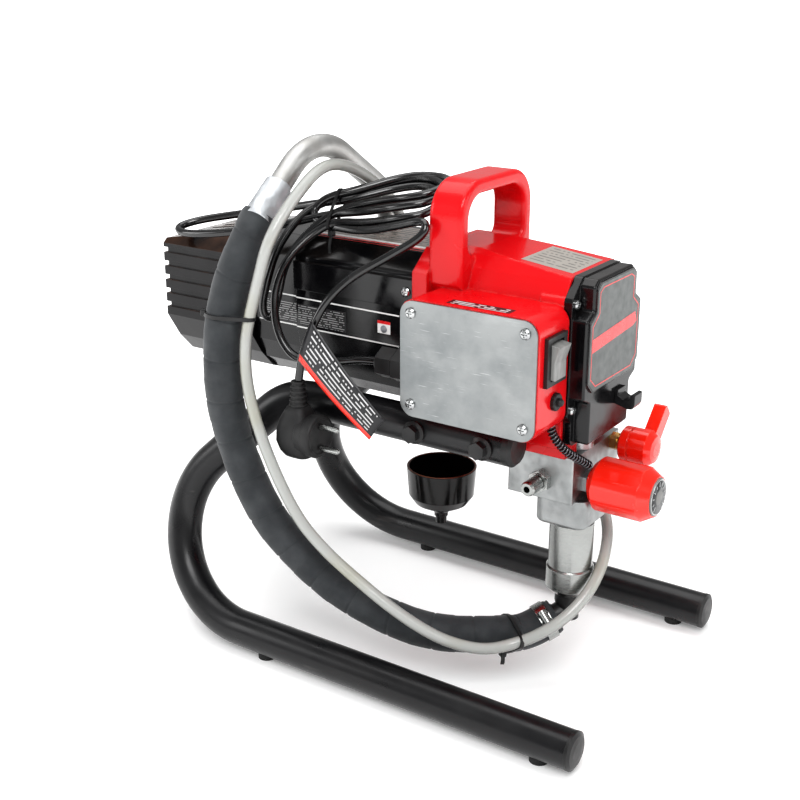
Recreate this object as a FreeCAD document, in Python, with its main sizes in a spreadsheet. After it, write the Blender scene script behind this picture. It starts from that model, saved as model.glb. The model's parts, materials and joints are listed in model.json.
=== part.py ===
import FreeCAD, Part
import math
import os
import Sketcher

# Airless paint sprayer on a two-tube stand, in millimetres.
# +X points to the front (pump side), +Z up. Every piece is drawn with the pump axis at
# X = 0, Y = 0 and the floor at Z = 0, then moved forward by pump_x, so that the finished
# model stands centred over its origin.

Vector = FreeCAD.Vector
doc = FreeCAD.newDocument("airless_sprayer")

SIZES = {
    "pump_x": 161.5,
    # stand
    "tube_radius": 16.0,
    "tube_wall": 2.0,
    "run_y": 133.6,
    "run_z": 20.0,
    "run_front_x": 74.0,
    "lower_bend_x": -262.0,
    "lower_bend_radius": 85.0,
    "upper_bend_radius": 60.0,
    "rail_y": 70.0,
    "rail_z": 230.0,
    "rail_front_x": -24.0,
    "front_bolt_x": -41.0,
    "rear_bolt_x": -105.0,
    "bolt_radius": 4.0,
    # drive housing
    "housing_rear": -112.0,
    "housing_front": 8.0,
    "housing_half_width": 46.0,
    "housing_top_rear": 376.6,
    "housing_top_front": 366.0,
    "neck_bottom": 214.5,
    "handle_rear": -112.0,
    "handle_front": -80.0,
    "handle_half_width": 57.0,
    "handle_top": 432.0,
    "handle_bar": 12.0,
    # control box
    "box_rear": -110.4,
    "box_front": 13.7,
    "box_bottom": 248.5,
    "box_top": 346.5,
    "box_face_y": -98.0,
    "box_wall": 4.0,
    "box_corner": 12.8,
    "plate_thickness": 2.0,
    "screw_rear_x": -99.6,
    "screw_front_x": 2.9,
    "screw_low_z": 259.8,
    "screw_high_z": 335.7,
    # front cover
    "cover_flange_x": 15.0,
    "cover_face_x": 28.0,
    "cover_half_width": 48.0,
    "cover_screw_y": 42.0,
    "cover_screw_low": 260.5,
    "cover_screw_high": 347.0,
    # motor
    "motor_z": 300.0,
    "shroud_rear": -300.0,
    "shroud_step": -248.0,
    "shroud_front": -124.0,
    "fan_cover_rear": -402.0,
    "can_radius": 47.0,
    "shaft_radius": 6.0,
    # gears and crank
    "fine_module": 1.0,
    "coarse_module": 1.5,
    "pinion_teeth": 14.0,
    "cluster_teeth": 58.0,
    "cluster_pinion_teeth": 13.0,
    "crank_teeth": 35.0,
    "gear_centres": 36.0,
    "crank_throw": 11.0,
    # pump
    "block_rear": -46.0,
    "block_front": 14.0,
    "block_near_y": -32.0,
    "block_far_y": 54.0,
    "block_bottom": 174.0,
    "lower_block_half": 25.0,
    "lower_block_front": 22.0,
    "lower_block_bottom": 148.0,
    "cylinder_radius": 19.0,
    "cylinder_bore": 14.0,
    "cylinder_bottom": 104.0,
    "inlet_step": 77.0,
    "rod_radius": 8.0,
    "outlet_x": -14.0,
    "outlet_z": 190.5,
    "knob_y": -4.0,
    "knob_z": 187.0,
    "knob_radius": 23.5,
    "valve_y": 42.0,
    "valve_z": 207.5,
    "valve_radius": 15.5,
    # hoses and cord
    "suction_radius": 16.0,
    "barb_root_z": 61.0,
    "return_radius": 5.0,
    "gooseneck_radius": 10.0,
    "gooseneck_x": -246.0,
    "gooseneck_far_y": 80.5,
    "cord_radius": 3.5,
    # running clearance of every turning or sliding fit, and loose clearance of screws
    "running": 0.05,
    "loose": 0.2,
}


class Size:
    """A number together with the spreadsheet formula that gives it."""

    def __init__(self, value, text):
        self.value = value
        self.text = text

    def __float__(self):
        return float(self.value)

    def __add__(self, other):
        return combine(self, "+", other)

    def __radd__(self, other):
        return combine(other, "+", self)

    def __sub__(self, other):
        return combine(self, "-", other)

    def __rsub__(self, other):
        return combine(other, "-", self)

    def __mul__(self, other):
        return combine(self, "*", other)

    def __rmul__(self, other):
        return combine(other, "*", self)

    def __truediv__(self, other):
        return combine(self, "/", other)

    def __neg__(self):
        return combine(0, "-", self)


def as_size(number):
    if isinstance(number, Size):
        return number
    return Size(float(number), f"({float(number):.6f})")


def combine(left, sign, right):
    left, right = as_size(left), as_size(right)
    results = {"+": left.value + right.value, "-": left.value - right.value, "*": left.value * right.value}
    value = left.value / right.value if sign == "/" else results[sign]
    return Size(value, f"({left.text} {sign} {right.text})")


class Sheet:
    """The driving dimensions: each name in SIZES is an attribute bound to its cell."""

    def __init__(self, sizes):
        sheet = doc.addObject("Spreadsheet::Sheet", "Sizes")
        for row, (alias, value) in enumerate(sizes.items(), start=1):
            sheet.set(f"A{row}", str(value))
            sheet.setAlias(f"A{row}", alias)
            sheet.set(f"B{row}", alias.replace("_", " "))
        doc.recompute()
        for alias in sizes:
            setattr(self, alias, Size(float(sheet.get(alias)), f"Sizes.{alias}"))


size = Sheet(SIZES)

# ---------------------------------------------------------------- building blocks

# Turns that carry a piece's own axis onto a named direction of the model.
FROM_Z = {
    "x": FreeCAD.Rotation(Vector(0, 1, 0), 90),
    "-x": FreeCAD.Rotation(Vector(0, 1, 0), -90),
    "y": FreeCAD.Rotation(Vector(1, 0, 0), -90),
    "-y": FreeCAD.Rotation(Vector(1, 0, 0), 90),
    "z": FreeCAD.Rotation(),
    "-z": FreeCAD.Rotation(Vector(1, 0, 0), 180),
}
FROM_X = {
    "x": FreeCAD.Rotation(),
    "-x": FreeCAD.Rotation(Vector(0, 0, 1), 180),
    "y": FreeCAD.Rotation(Vector(0, 0, 1), 90),
    "-y": FreeCAD.Rotation(Vector(0, 0, 1), -90),
    "z": FreeCAD.Rotation(Vector(0, 1, 0), -90),
    "-z": FreeCAD.Rotation(Vector(0, 1, 0), 90),
}
SKETCH_PLANE = {"x": "YZ_Plane", "y": "XZ_Plane", "z": "XY_Plane"}

# Centre lines (y, z) of the breaker and of the cable gland in the control box's end walls.
BREAKER = (-70, 276)
GLAND = (-75, 281)
# The elbow's barb points back, to the near side and slightly down.
HOSE_HEADING = Vector(-0.57, -0.7, -0.42).normalize()
COIL_TIE_RADIUS = 5.5
# Share of a hose's straight run that the bend at its end may take up.
ROUNDED_SHARE = 0.48

parts = []
centre_lines = {}


def bind(obj, name, number):
    obj.setExpression(name, as_size(number).text)


def locate(obj, place, turn=None):
    if turn is not None:
        obj.Placement = FreeCAD.Placement(Vector(0, 0, 0), turn)
    for letter, number in zip("xyz", place):
        bind(obj, f"Placement.Base.{letter}", number)
    return obj


def keep(label, obj, place=(0, 0, 0)):
    """Name a finished sub-part and move it from pump coordinates to the model's frame."""
    obj.Label = label
    bind(obj, "Placement.Base.x", size.pump_x + place[0])
    parts.append(obj)
    return obj


def box(name, x, y, z):
    obj = doc.addObject("Part::Box", name)
    for side, (low, high) in zip(("Length", "Width", "Height"), (x, y, z)):
        bind(obj, side, as_size(high) - low)
    return locate(obj, (x[0], y[0], z[0]))


def cylinder(name, along, low, high, radius, centre=(0, 0)):
    """A cylinder from low to high along an axis; centre holds the two other coordinates."""
    obj = doc.addObject("Part::Cylinder", name)
    bind(obj, "Radius", radius)
    bind(obj, "Height", as_size(high) - low)
    place = list(centre)
    place.insert("xyz".index(along), low)
    return locate(obj, place, FROM_Z[along])


def cut(name, base, *tools):
    obj = doc.addObject("Part::Cut", name)
    obj.Base = base
    obj.Tool = tools[0] if len(tools) == 1 else fuse(name + "_tools", *tools)
    return obj


def common(name, *shapes):
    obj = doc.addObject("Part::MultiCommon", name)
    obj.Shapes = list(shapes)
    return obj


def fuse(name, *shapes):
    obj = doc.addObject("Part::MultiFuse", name)
    obj.Shapes = list(shapes)
    return obj


def group(name, shapes):
    """Several equal, separate pieces that share one node."""
    obj = doc.addObject("Part::Compound", name)
    obj.Links = list(shapes)
    return obj


def origin_plane(body, role):
    return next(feature for feature in body.Origin.OriginFeatures if feature.Role == role)


def new_sketch(body, role, offset=0):
    sketch = body.newObject("Sketcher::SketchObject", body.Name + "_sketch")
    sketch.AttachmentSupport = [(origin_plane(body, role), "")]
    sketch.MapMode = "FlatFace"
    bind(sketch, "AttachmentOffset.Base.z", offset)
    return sketch


def draw_outline(sketch, points):
    """A closed outline of straight lines, each corner dimensioned from the sketch's origin."""
    corners = [(as_size(a), as_size(b)) for a, b in points]
    count = len(corners)
    first = sketch.GeometryCount
    for index, (start, end) in enumerate(zip(corners, corners[1:] + corners[:1])):
        line = Part.LineSegment(Vector(*map(float, start), 0), Vector(*map(float, end), 0))
        sketch.addGeometry(line, False)
    for index in range(count):
        after = first + (index + 1) % count
        sketch.addConstraint(Sketcher.Constraint("Coincident", first + index, 2, after, 1))
    for index, corner in enumerate(corners):
        for kind, number in zip(("DistanceX", "DistanceY"), corner):
            constraint = Sketcher.Constraint(kind, -1, 1, first + index, 1, float(number))
            bind(sketch, f"Constraints[{sketch.addConstraint(constraint)}]", number)


def extruded(name, along, outline, low, high):
    """A body padded from low to high along an axis, its outline given in the other two."""
    body = doc.addObject("PartDesign::Body", name)
    start = -as_size(high) if along == "y" else as_size(low)
    sketch = new_sketch(body, SKETCH_PLANE[along], start)
    draw_outline(sketch, outline)
    pad = body.newObject("PartDesign::Pad", name + "_pad")
    pad.Profile = sketch
    bind(pad, "Length", as_size(high) - low)
    sketch.Visibility = False
    return body


def pocketed(body, along, outline, low, high):
    """Cut an outline out of an extruded body, from low to high along the axis."""
    doc.recompute()
    before = body.Shape.Volume
    start = -as_size(low) if along == "y" else as_size(high)
    sketch = new_sketch(body, SKETCH_PLANE[along], start)
    draw_outline(sketch, outline)
    pocket = body.newObject("PartDesign::Pocket", body.Name + "_pocket")
    pocket.Profile = sketch
    bind(pocket, "Length", as_size(high) - low)
    doc.recompute()
    if body.Shape.Volume >= before - 1e-6:
        raise ValueError(f"{body.Name}: the pocket cuts nothing")
    return body


def turned(name, profile, place=(0, 0, 0), along="x"):
    """A solid of revolution: corners are (distance along the axis, radius)."""
    body = doc.addObject("PartDesign::Body", name)
    sketch = new_sketch(body, "XY_Plane")
    draw_outline(sketch, profile)
    revolution = body.newObject("PartDesign::Revolution", name + "_turn")
    revolution.Profile = sketch
    revolution.ReferenceAxis = (sketch, ["H_Axis"])
    revolution.Angle = 360
    return locate(body, place, FROM_X[along])


def dress(body, kind, amount, wanted):
    """Fillet or chamfer the edges of a body that the test picks."""
    doc.recompute()
    base = body.Tip
    names = [f"Edge{number}" for number, edge in enumerate(base.Shape.Edges, start=1) if wanted(edge)]
    feature = body.newObject("PartDesign::" + kind, body.Name + "_" + kind.lower())
    feature.Base = (base, names)
    bind(feature, "Radius" if kind == "Fillet" else "Size", amount)
    return body


def runs_along(axis, low=None, high=None, across=None):
    """Pick straight edges along an axis; low and high bound their middle on the axis `across`."""
    direction = Vector(*[1.0 if letter == axis else 0.0 for letter in "xyz"])

    def wanted(edge):
        if edge.Curve.TypeId != "Part::GeomLine":
            return False
        if abs(abs(edge.Curve.Direction.dot(direction)) - 1) > 1e-6:
            return False
        if across is None:
            return True
        middle = edge.CenterOfMass["xyz".index(across)]
        return float(low) <= middle <= float(high)

    return wanted


def in_plane(axis, level, above_z=None):
    """Pick the edges that lie in the plane axis = level."""
    index = "xyz".index(axis)

    def wanted(edge):
        bounds = edge.BoundBox
        low = (bounds.XMin, bounds.YMin, bounds.ZMin)[index]
        high = (bounds.XMax, bounds.YMax, bounds.ZMax)[index]
        flat = abs(low - float(level)) < 1e-4 and abs(high - float(level)) < 1e-4
        return flat and (above_z is None or bounds.ZMin > above_z)

    return wanted


def mirrored(half):
    """A symmetric outline from its right half, given top to bottom as (y, z)."""
    return [(y, z) for y, z in half] + [(-as_size(y), z) for y, z in reversed(half)]


def rectangle(a, b):
    return [(a[0], b[0]), (a[1], b[0]), (a[1], b[1]), (a[0], b[1])]


def hexagon(across_flats, centre=(0, 0)):
    """Corners of a hexagonal outline with two flats parallel to its second axis."""
    reach = as_size(across_flats) / math.sqrt(3)
    corners = []
    for step in range(6):
        angle = math.radians(60 * step + 30)
        corner = (reach * math.cos(angle) + centre[0], reach * math.sin(angle) + centre[1])
        corners.append(corner)
    return corners


def pan_screw(name, place, along, head_radius, head_height, length, radius=2.0):
    """A pan-head screw whose head sits on the given point and points along the axis."""
    profile = [
        (-length, 0),
        (-length, radius),
        (0, radius),
        (0, head_radius),
        (head_height * 0.45, head_radius),
        (head_height * 0.85, head_radius * 0.7),
        (head_height, head_radius * 0.3),
        (head_height, 0),
    ]
    screw = turned(name, profile, place, along)
    arm, reach, depth = 0.55, head_radius * 0.58, head_height * 0.55
    quarter = [(reach, -arm), (reach, arm), (arm, arm)]
    cross = [turn_corner(corner, step) for step in range(4) for corner in quarter]
    return pocketed(screw, "x", cross, head_height - depth, head_height + 0.1)


def turn_corner(corner, quarters):
    """An outline corner turned about the origin by a number of quarter turns."""
    for _ in range(quarters):
        corner = (-corner[1], corner[0])
    return corner


def on_arc(centre, radius, degrees):
    """A point of a circle in a sketch, its angle counted from the sketch's first axis."""
    angle = math.radians(degrees)
    return centre + Vector(radius * math.cos(angle), radius * math.sin(angle), 0)


def rounded_path(points):
    """Straight runs between the points, every corner rounded as widely as its runs allow."""
    points = [Vector(*map(float, point)) for point in points]
    edges, start = [], points[0]
    for before, corner, after in zip(points, points[1:], points[2:]):
        back, ahead = before - corner, after - corner
        reach = ROUNDED_SHARE * min(back.Length, ahead.Length)
        arc_start = corner + back.normalize() * reach
        arc_end = corner + ahead.normalize() * reach
        half_angle = back.getAngle(ahead) / 2
        inward = (back + ahead).normalize()
        radius = reach * math.tan(half_angle)
        middle = corner + inward * (math.hypot(reach, radius) - radius)
        edges.append(Part.makeLine(start, arc_start))
        edges.append(Part.Arc(arc_start, middle, arc_end).toShape())
        start = arc_end
    edges.append(Part.makeLine(start, points[-1]))
    return Part.Wire(edges)


def swept(name, points, radius, bore=0):
    """A round hose or cord along the rounded path through the points. Its centre line is kept."""
    spine = rounded_path(points)
    start = Vector(*map(float, points[0]))
    heading = Vector(*map(float, points[1])) - start

    def disc(disc_radius):
        return Part.Face(Part.Wire(Part.Edge(Part.Circle(start, heading, float(disc_radius)))))

    section = disc(radius).cut(disc(bore)) if bore else disc(radius)
    obj = doc.addObject("Part::Feature", name)
    obj.Shape = spine.makePipe(section).Solids[0]
    centre_lines[name] = spine
    return obj


def draw_path(sketch, pieces):
    """A run of lines (two points) and arcs (three points)."""
    for piece in pieces:
        shape = Part.LineSegment(*piece) if len(piece) == 2 else Part.Arc(*piece)
        sketch.addGeometry(shape, False)


def sweep_tube(body, path, section, centre, outer, inner):
    """Sweep a ring, drawn at a point of the section sketch, along the whole path."""
    for index, radius in enumerate((outer, inner)):
        circle = Part.Circle(Vector(*map(float, centre), 0), Vector(0, 0, 1), float(radius))
        section.addGeometry(circle, False)
        for kind, number in zip(("DistanceX", "DistanceY"), centre):
            constraint = Sketcher.Constraint(kind, -1, 1, index, 3, float(number))
            bind(section, f"Constraints[{section.addConstraint(constraint)}]", number)
        number = section.addConstraint(Sketcher.Constraint("Radius", index, float(radius)))
        bind(section, f"Constraints[{number}]", radius)
    pipe = body.newObject("PartDesign::AdditivePipe", body.Name + "_sweep")
    pipe.Profile = section
    pipe.Spine = (path, [f"Edge{number}" for number in range(1, path.GeometryCount + 1)])


# ---------------------------------------------------------------- stand

def stand_tube(side):
    """One bent tube: floor run, rear hoop and upper rail, leaning in towards the motor."""
    name = "stand_tube_left" if side > 0 else "stand_tube_right"
    body = doc.addObject("PartDesign::Body", name + "_pipe")
    rise = math.hypot(float(size.rail_z - size.run_z), float(size.run_y - size.rail_y))
    lean = math.degrees(math.asin(float(size.run_y - size.rail_y) / rise))
    low_r, high_r = float(size.lower_bend_radius), float(size.upper_bend_radius)
    low_centre = Vector(float(size.lower_bend_x), low_r, 0)
    hoop_end = on_arc(low_centre, low_r, 135)
    rail_start_x = hoop_end.x - hoop_end.y + rise - high_r + math.sqrt(2) * high_r
    high_centre = Vector(rail_start_x, rise - high_r, 0)
    slope_end, bend_middle, rail_start = [on_arc(high_centre, high_r, turn) for turn in (135, 112.5, 90)]
    path = new_sketch(body, "XZ_Plane")
    draw_path(path, [
        (Vector(float(size.run_front_x), 0, 0), Vector(low_centre.x, 0, 0)),
        (Vector(low_centre.x, 0, 0), on_arc(low_centre, low_r, 202.5), hoop_end),
        (hoop_end, slope_end),
        (slope_end, bend_middle, rail_start),
        (rail_start, Vector(float(size.rail_front_x), rise, 0)),
    ])
    section = new_sketch(body, "YZ_Plane", size.run_front_x)
    sweep_tube(body, path, section, (0, 0), size.tube_radius, size.tube_radius - size.tube_wall)
    turn = FreeCAD.Rotation(Vector(1, 0, 0), side * lean)
    locate(body, (0, side * size.run_y, size.run_z), turn)
    holes = []
    for bolt_x in (size.front_bolt_x, size.rear_bolt_x):
        holes.append(cylinder(name + "_hole", "y", side * size.rail_y - 20, side * size.rail_y + 20,
                              size.bolt_radius + size.loose, (bolt_x, size.rail_z)))
    keep(name, cut(name, body, *holes))


def end_caps(label, front_x, side_y, height, rim, dome):
    """Plastic plugs pressed into the two tube ends, with a rim and a slightly domed face."""
    plug = size.tube_radius - size.tube_wall - 0.1
    caps = []
    for side in (-1, 1):
        profile = [
            (-12, 0),
            (-12, plug),
            (0, plug),
            (0, rim),
            (dome * 0.55, rim),
            (dome * 0.9, rim * 0.8),
            (dome, rim * 0.45),
            (dome, 0),
        ]
        caps.append(turned(label + "_cap", profile, (front_x, side * side_y, height)))
    keep(label, group(label, caps))


def stand_feet():
    """Four rubber nubs cupped under the floor runs."""
    feet = []
    for side in (-1, 1):
        for foot_x in (-232, 46):
            nub = cylinder("foot_nub", "z", 0, 8, 8, (foot_x, side * size.run_y))
            run = cylinder("foot_run", "x", foot_x - 20, foot_x + 20, size.tube_radius,
                           (side * size.run_y, size.run_z))
            feet.append(cut("foot", nub, run))
    keep("stand_feet", group("stand_feet", feet))


def stand_bolts():
    """Four flanged hexagon bolts through the rails into the housing's base."""
    bolts = []
    for side in (-1, 1):
        seat = size.rail_y + size.tube_radius
        for bolt_x in (size.front_bolt_x, size.rear_bolt_x):
            low, high = (seat, seat + 9) if side > 0 else (-(seat + 9), -seat)
            head = extruded("bolt_head", "y", hexagon(13, (bolt_x, size.rail_z)), low, high)
            shank = [(-42, 0), (-42, size.bolt_radius), (0, size.bolt_radius), (0, 10), (1.6, 10),
                     (3.2, 7.6), (3.2, 0)]
            turn = "y" if side > 0 else "-y"
            pin = turned("bolt_shank", shank, (bolt_x, side * seat, size.rail_z), turn)
            bolts.append(fuse("bolt", head, pin))
    keep("stand_bolts", group("stand_bolts", bolts))


# ---------------------------------------------------------------- drive housing

def motor_outline(inset=0.0):
    """The motor shroud's section, shrunk towards the motor axis for its inner surfaces."""
    half = [(38, 370), (58, 354), (58, 290), (53, 268), (42, 247), (26, 233), (12, 227)]
    keep_share = 1 - inset / 58
    centre = size.motor_z
    return mirrored([(y * keep_share, (z - centre) * keep_share + centre) for y, z in half])


def handle():
    """The arch across the housing: a rounded bar with a D-shaped opening."""
    wide, bar = size.handle_half_width, size.handle_bar
    half = [(wide, size.handle_top), (wide, 350), (size.housing_half_width - 2, 330)]
    body = extruded("handle", "x", mirrored(half), size.handle_rear, size.handle_front)
    dress(body, "Fillet", 30, runs_along("x", size.handle_top - 1, size.handle_top + 1, "z"))
    opening = rectangle((bar - wide, wide - bar), (372, size.handle_top - bar))
    pocketed(body, "x", opening, size.handle_rear - 1, size.handle_front + 1)
    dress(body, "Fillet", 20, runs_along("x", size.handle_top - bar - 1, size.handle_top - bar + 1, "z"))
    dress(body, "Fillet", 10, runs_along("x", 371, 373, "z"))
    for level in (size.handle_rear, size.handle_front):
        dress(body, "Fillet", 4.0, in_plane("x", level, 351))
    return body


def housing_core():
    """The gear case with sloping shoulders and a top that falls towards the front."""
    wide = size.housing_half_width
    half = [(22, 380), (33, 372.5), (40, 363), (wide, 349), (wide, 226)]
    core = extruded("core", "x", mirrored(half), size.housing_rear, size.housing_front)
    dress(core, "Fillet", 14, runs_along("x", 348, 350, "z"))
    wedge = [(size.handle_front, size.housing_top_rear), (size.housing_front + 1, size.housing_top_front),
             (size.housing_front + 1, 400), (size.housing_rear - 1, 400),
             (size.housing_rear - 1, size.housing_top_rear)]
    roof = extruded("roof_cut", "y", wedge, -60, 60)
    return cut("sloped_core", core, roof)


def control_box():
    """The electrical box cast on the near side, open towards -Y, with four screw posts."""
    outline = rectangle((size.box_rear, size.box_front), (size.box_bottom, size.box_top))
    shell = extruded("box_shell", "y", outline, size.box_face_y, -40)
    dress(shell, "Fillet", size.box_corner, runs_along("y"))
    wall = size.box_wall
    inner = rectangle((size.box_rear + wall, size.box_front - wall),
                      (size.box_bottom + wall, size.box_top - wall))
    hollow = extruded("box_hollow", "y", inner, size.box_face_y - 1, -52)
    dress(hollow, "Fillet", size.box_corner - wall, runs_along("y"))
    posts = []
    holes = []
    for x, z in plate_screw_places():
        posts.append(cylinder("box_post", "y", size.box_face_y, -45, 6, (x, z)))
        holes.append(cylinder("box_hole", "y", size.box_face_y - 1, -84, 2 + size.loose, (x, z)))
    switch_hole = box("switch_hole", (4, 20), (-86, -62), (294, 329))
    breaker_hole = cylinder("breaker_hole", "x", 4, 20, 5, BREAKER)
    gland_hole = cylinder("gland_hole", "x", -116, -100, 8, GLAND)
    cable_hole = cylinder("cable_hole", "z", 240, 256, 3, (4, -56))
    walls = fuse("box_walls", cut("box_open", shell, hollow), *posts)
    return cut("control_box", walls, switch_hole, breaker_hole, gland_hole, cable_hole, *holes)


def plate_screw_places():
    levels = (size.screw_low_z, size.screw_high_z)
    return [(x, z) for x in (size.screw_rear_x, size.screw_front_x) for z in levels]


def cover_screw_places():
    levels = (size.cover_screw_low, size.cover_screw_high)
    return [(side * size.cover_screw_y, z) for side in (-1, 1) for z in levels]


def drive_housing():
    """One red casting: gear case, motor flange, handle, control box, neck and base."""
    flange = extruded("motor_flange", "x", motor_outline(-3.5), size.shroud_front, size.housing_rear + 2)
    neck = box("neck", (-38, size.housing_front), (-36, 36), (size.neck_bottom, 240))
    base = box("base_slab", (-118, -28), (-60, 60), (214.5, 247))
    ears = [cylinder("cover_ear", "x", -14, size.housing_front, 6, place) for place in cover_screw_places()]
    solid = fuse("housing_solid", housing_core(), flange, neck, base, handle(), control_box(), *ears)
    gear_room = box("gear_room", (-130, -62), (-39, 39), (231, 349))
    yoke_room = box("yoke_room", (-34, 20), (-39, 39), (243, 349))
    crank_bore = cylinder("crank_bore", "x", -63, -33, 16, (0, size.motor_z))
    cluster_bore = cylinder("cluster_bore", "x", -63, -51, 16, (0, size.motor_z - size.gear_centres))
    rod_bore = cylinder("rod_bore", "z", 200, 244, 17, (0, 0))
    cuts = [gear_room, yoke_room, crank_bore, cluster_bore, rod_bore]
    for side in (-1, 1):
        cuts.append(cylinder("saddle", "x", -140, -10, size.tube_radius + 0.05,
                             (side * size.rail_y, size.rail_z)))
        for bolt_x in (size.front_bolt_x, size.rear_bolt_x):
            low, high = (43, 61) if side > 0 else (-61, -43)
            cuts.append(cylinder("bolt_hole", "y", low, high, size.bolt_radius + size.loose,
                                 (bolt_x, size.rail_z)))
    for place in cover_screw_places():
        cuts.append(cylinder("ear_hole", "x", -10, 20, 2 + size.loose, place))
    cuts.append(box("cover_seat", (size.housing_front, 20), (-50, 50), (240, 360)))
    keep("drive_housing", cut("drive_housing", solid, *cuts))


def front_cover():
    """The black cover: a flange, a raised body notched at its corner screws, and a label panel."""
    wide, face = size.cover_half_width, size.cover_face_x
    flange_half = [(33, 367), (wide + 1, 351), (wide + 1, 256), (42, 250), (42, 229)]
    flange = extruded("cover_flange", "x", mirrored(flange_half), size.housing_front, size.cover_flange_x)
    dress(flange, "Fillet", 5, runs_along("x"))
    raised_half = [(31, 366), (37, 361), (37, 342), (wide, 336), (wide, 272), (37, 267), (37, 231)]
    raised = extruded("cover_raised", "x", mirrored(raised_half), size.cover_flange_x, face)
    dress(raised, "Fillet", 3, runs_along("x"))
    dress(raised, "Fillet", 2, in_plane("x", face))
    panel_half = [(30, 364), (35.5, 359), (35.5, 341), (46, 334.5), (46, 285), (37, 276)]
    panel = extruded("cover_panel", "x", mirrored(panel_half), face - 1, face + 1.5)
    dress(panel, "Fillet", 3, runs_along("x"))
    hollow = box("cover_hollow", (0, 25), (-33, 33), (243, 355))
    holes = [cylinder("cover_hole", "x", 0, 20, 2 + size.loose, place) for place in cover_screw_places()]
    solid = fuse("cover_solid", flange, raised, panel)
    keep("front_cover", cut("front_cover", solid, hollow, *holes))


def cover_screws():
    screws = []
    for y, z in cover_screw_places():
        screws.append(pan_screw("cover_screw", (size.cover_flange_x, y, z), "x", 4, 2.8, 22))
    keep("cover_screws", group("cover_screws", screws))


def pail_hook():
    """The stubby upturned hook on the front cover that carries a pail."""
    face = size.cover_face_x
    outline = [(face, 254), (40, 251), (44, 251.5), (46, 255), (46, 264), (42.5, 264), (41, 259),
               (36, 258.5), (face + 3, 261), (face + 3, 266), (face, 266)]
    hook = extruded("hook", "y", outline, 9, 23)
    dress(hook, "Fillet", 1.2, runs_along("y", 38, 60, "x"))
    keep("pail_hook", hook)


def control_plate():
    """The aluminium lid of the control box."""
    edge = 0.8
    face = size.box_face_y - size.plate_thickness
    outline = rectangle((size.box_rear + edge, size.box_front - edge),
                        (size.box_bottom + edge, size.box_top - edge))
    plate = extruded("plate", "y", outline, face, size.box_face_y)
    dress(plate, "Fillet", size.box_corner - edge, runs_along("y"))
    holes = [cylinder("plate_hole", "y", face - 1, size.box_face_y + 1, 2 + size.loose, place)
             for place in plate_screw_places()]
    keep("control_plate", cut("control_plate", plate, *holes))


def plate_screws():
    face = size.box_face_y - size.plate_thickness
    screws = [pan_screw("plate_screw", (x, face, z), "-y", 4.4, 2.8, 14) for x, z in plate_screw_places()]
    keep("plate_screws", group("plate_screws", screws))


# ---------------------------------------------------------------- electrical pieces

def switch():
    """The rocker switch: a black body with a bezel, and a rocker tilted eight degrees to 'on'."""
    rim = box("switch_rim", (size.box_front, 17), (-89.5, -58.5), (292, 331))
    body = box("switch_case", (-10, size.box_front), (-85.5, -62.5), (294.5, 328.5))
    well = box("switch_well", (4, 18), (-84, -64), (296, 327))
    pivot, pin_radius = (12.5, -74, 311.5), 1.5
    pin_hole = cylinder("pin_hole", "y", -85.5, -62.5, pin_radius + size.running, (pivot[0], pivot[2]))
    keep("switch_body", cut("switch_body", fuse("switch_solid", rim, body), well, pin_hole))
    outline = [(-5, -13.6), (9.5, -13.6), (7.5, 0), (9.5, 13.6), (-5, 13.6)]
    rocker = extruded("rocker", "y", outline, -9.5, 9.5)
    dress(rocker, "Fillet", 1.0, in_plane("y", -9.5))
    dress(rocker, "Fillet", 1.0, in_plane("y", 9.5))
    locate(rocker, pivot, FreeCAD.Rotation(Vector(0, 1, 0), 8))
    pin = cylinder("rocker_pin", "y", -85, -63, pin_radius, (pivot[0], pivot[2]))
    keep("rocker_switch", fuse("rocker_switch", rocker, pin))


def breaker():
    """The overload breaker: threaded body with a ring nut, and its push button."""
    ring = [(0, 0), (0, 7.2), (2.6, 7.2), (3.6, 6.4), (3.6, 0)]
    nut = turned("breaker_nut", ring, (size.box_front, *BREAKER))
    barrel = cylinder("breaker_barrel", "x", -14, size.box_front, 4.8, BREAKER)
    bore = cylinder("breaker_bore", "x", 2, 20, 3.3 + size.running, BREAKER)
    grips = []
    for step in range(12):
        angle = math.radians(30 * step)
        centre = (BREAKER[0] + 7.6 * math.cos(angle), BREAKER[1] + 7.6 * math.sin(angle))
        grips.append(cylinder("breaker_grip", "x", 10, 20, 0.9, centre))
    keep("breaker_body", cut("breaker_body", fuse("breaker_solid", nut, barrel), bore, *grips))
    button = [(-10, 0), (-10, 3.3), (5.6, 3.3), (7.4, 2.4), (7.8, 1.2), (7.8, 0)]
    keep("breaker_button", turned("button", button, (size.box_front, *BREAKER)), (size.box_front,))


def cable_gland():
    """Hexagonal cable gland in the rear wall of the control box."""
    wall = size.box_rear
    flats = extruded("gland_flats", "x", hexagon(25, GLAND), wall - 18, wall)
    cap = extruded("gland_cap", "x", hexagon(23, GLAND), wall - 34, wall - 19)
    neck = cylinder("gland_neck", "x", wall - 20, wall - 17, 9.5, GLAND)
    thread = cylinder("gland_thread", "x", wall - 1, wall + 12, 7.8, GLAND)
    nose_profile = [(0, 0), (0, 10), (3, 8.5), (4.5, 6), (4.5, 0)]
    nose = turned("gland_nose", nose_profile, (wall - 34, *GLAND), "-x")
    bore = cylinder("gland_bore", "x", wall - 40, wall + 14, size.cord_radius + 0.1, GLAND)
    keep("cable_gland", cut("cable_gland", fuse("gland_solid", flats, cap, neck, thread, nose), bore))


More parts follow.
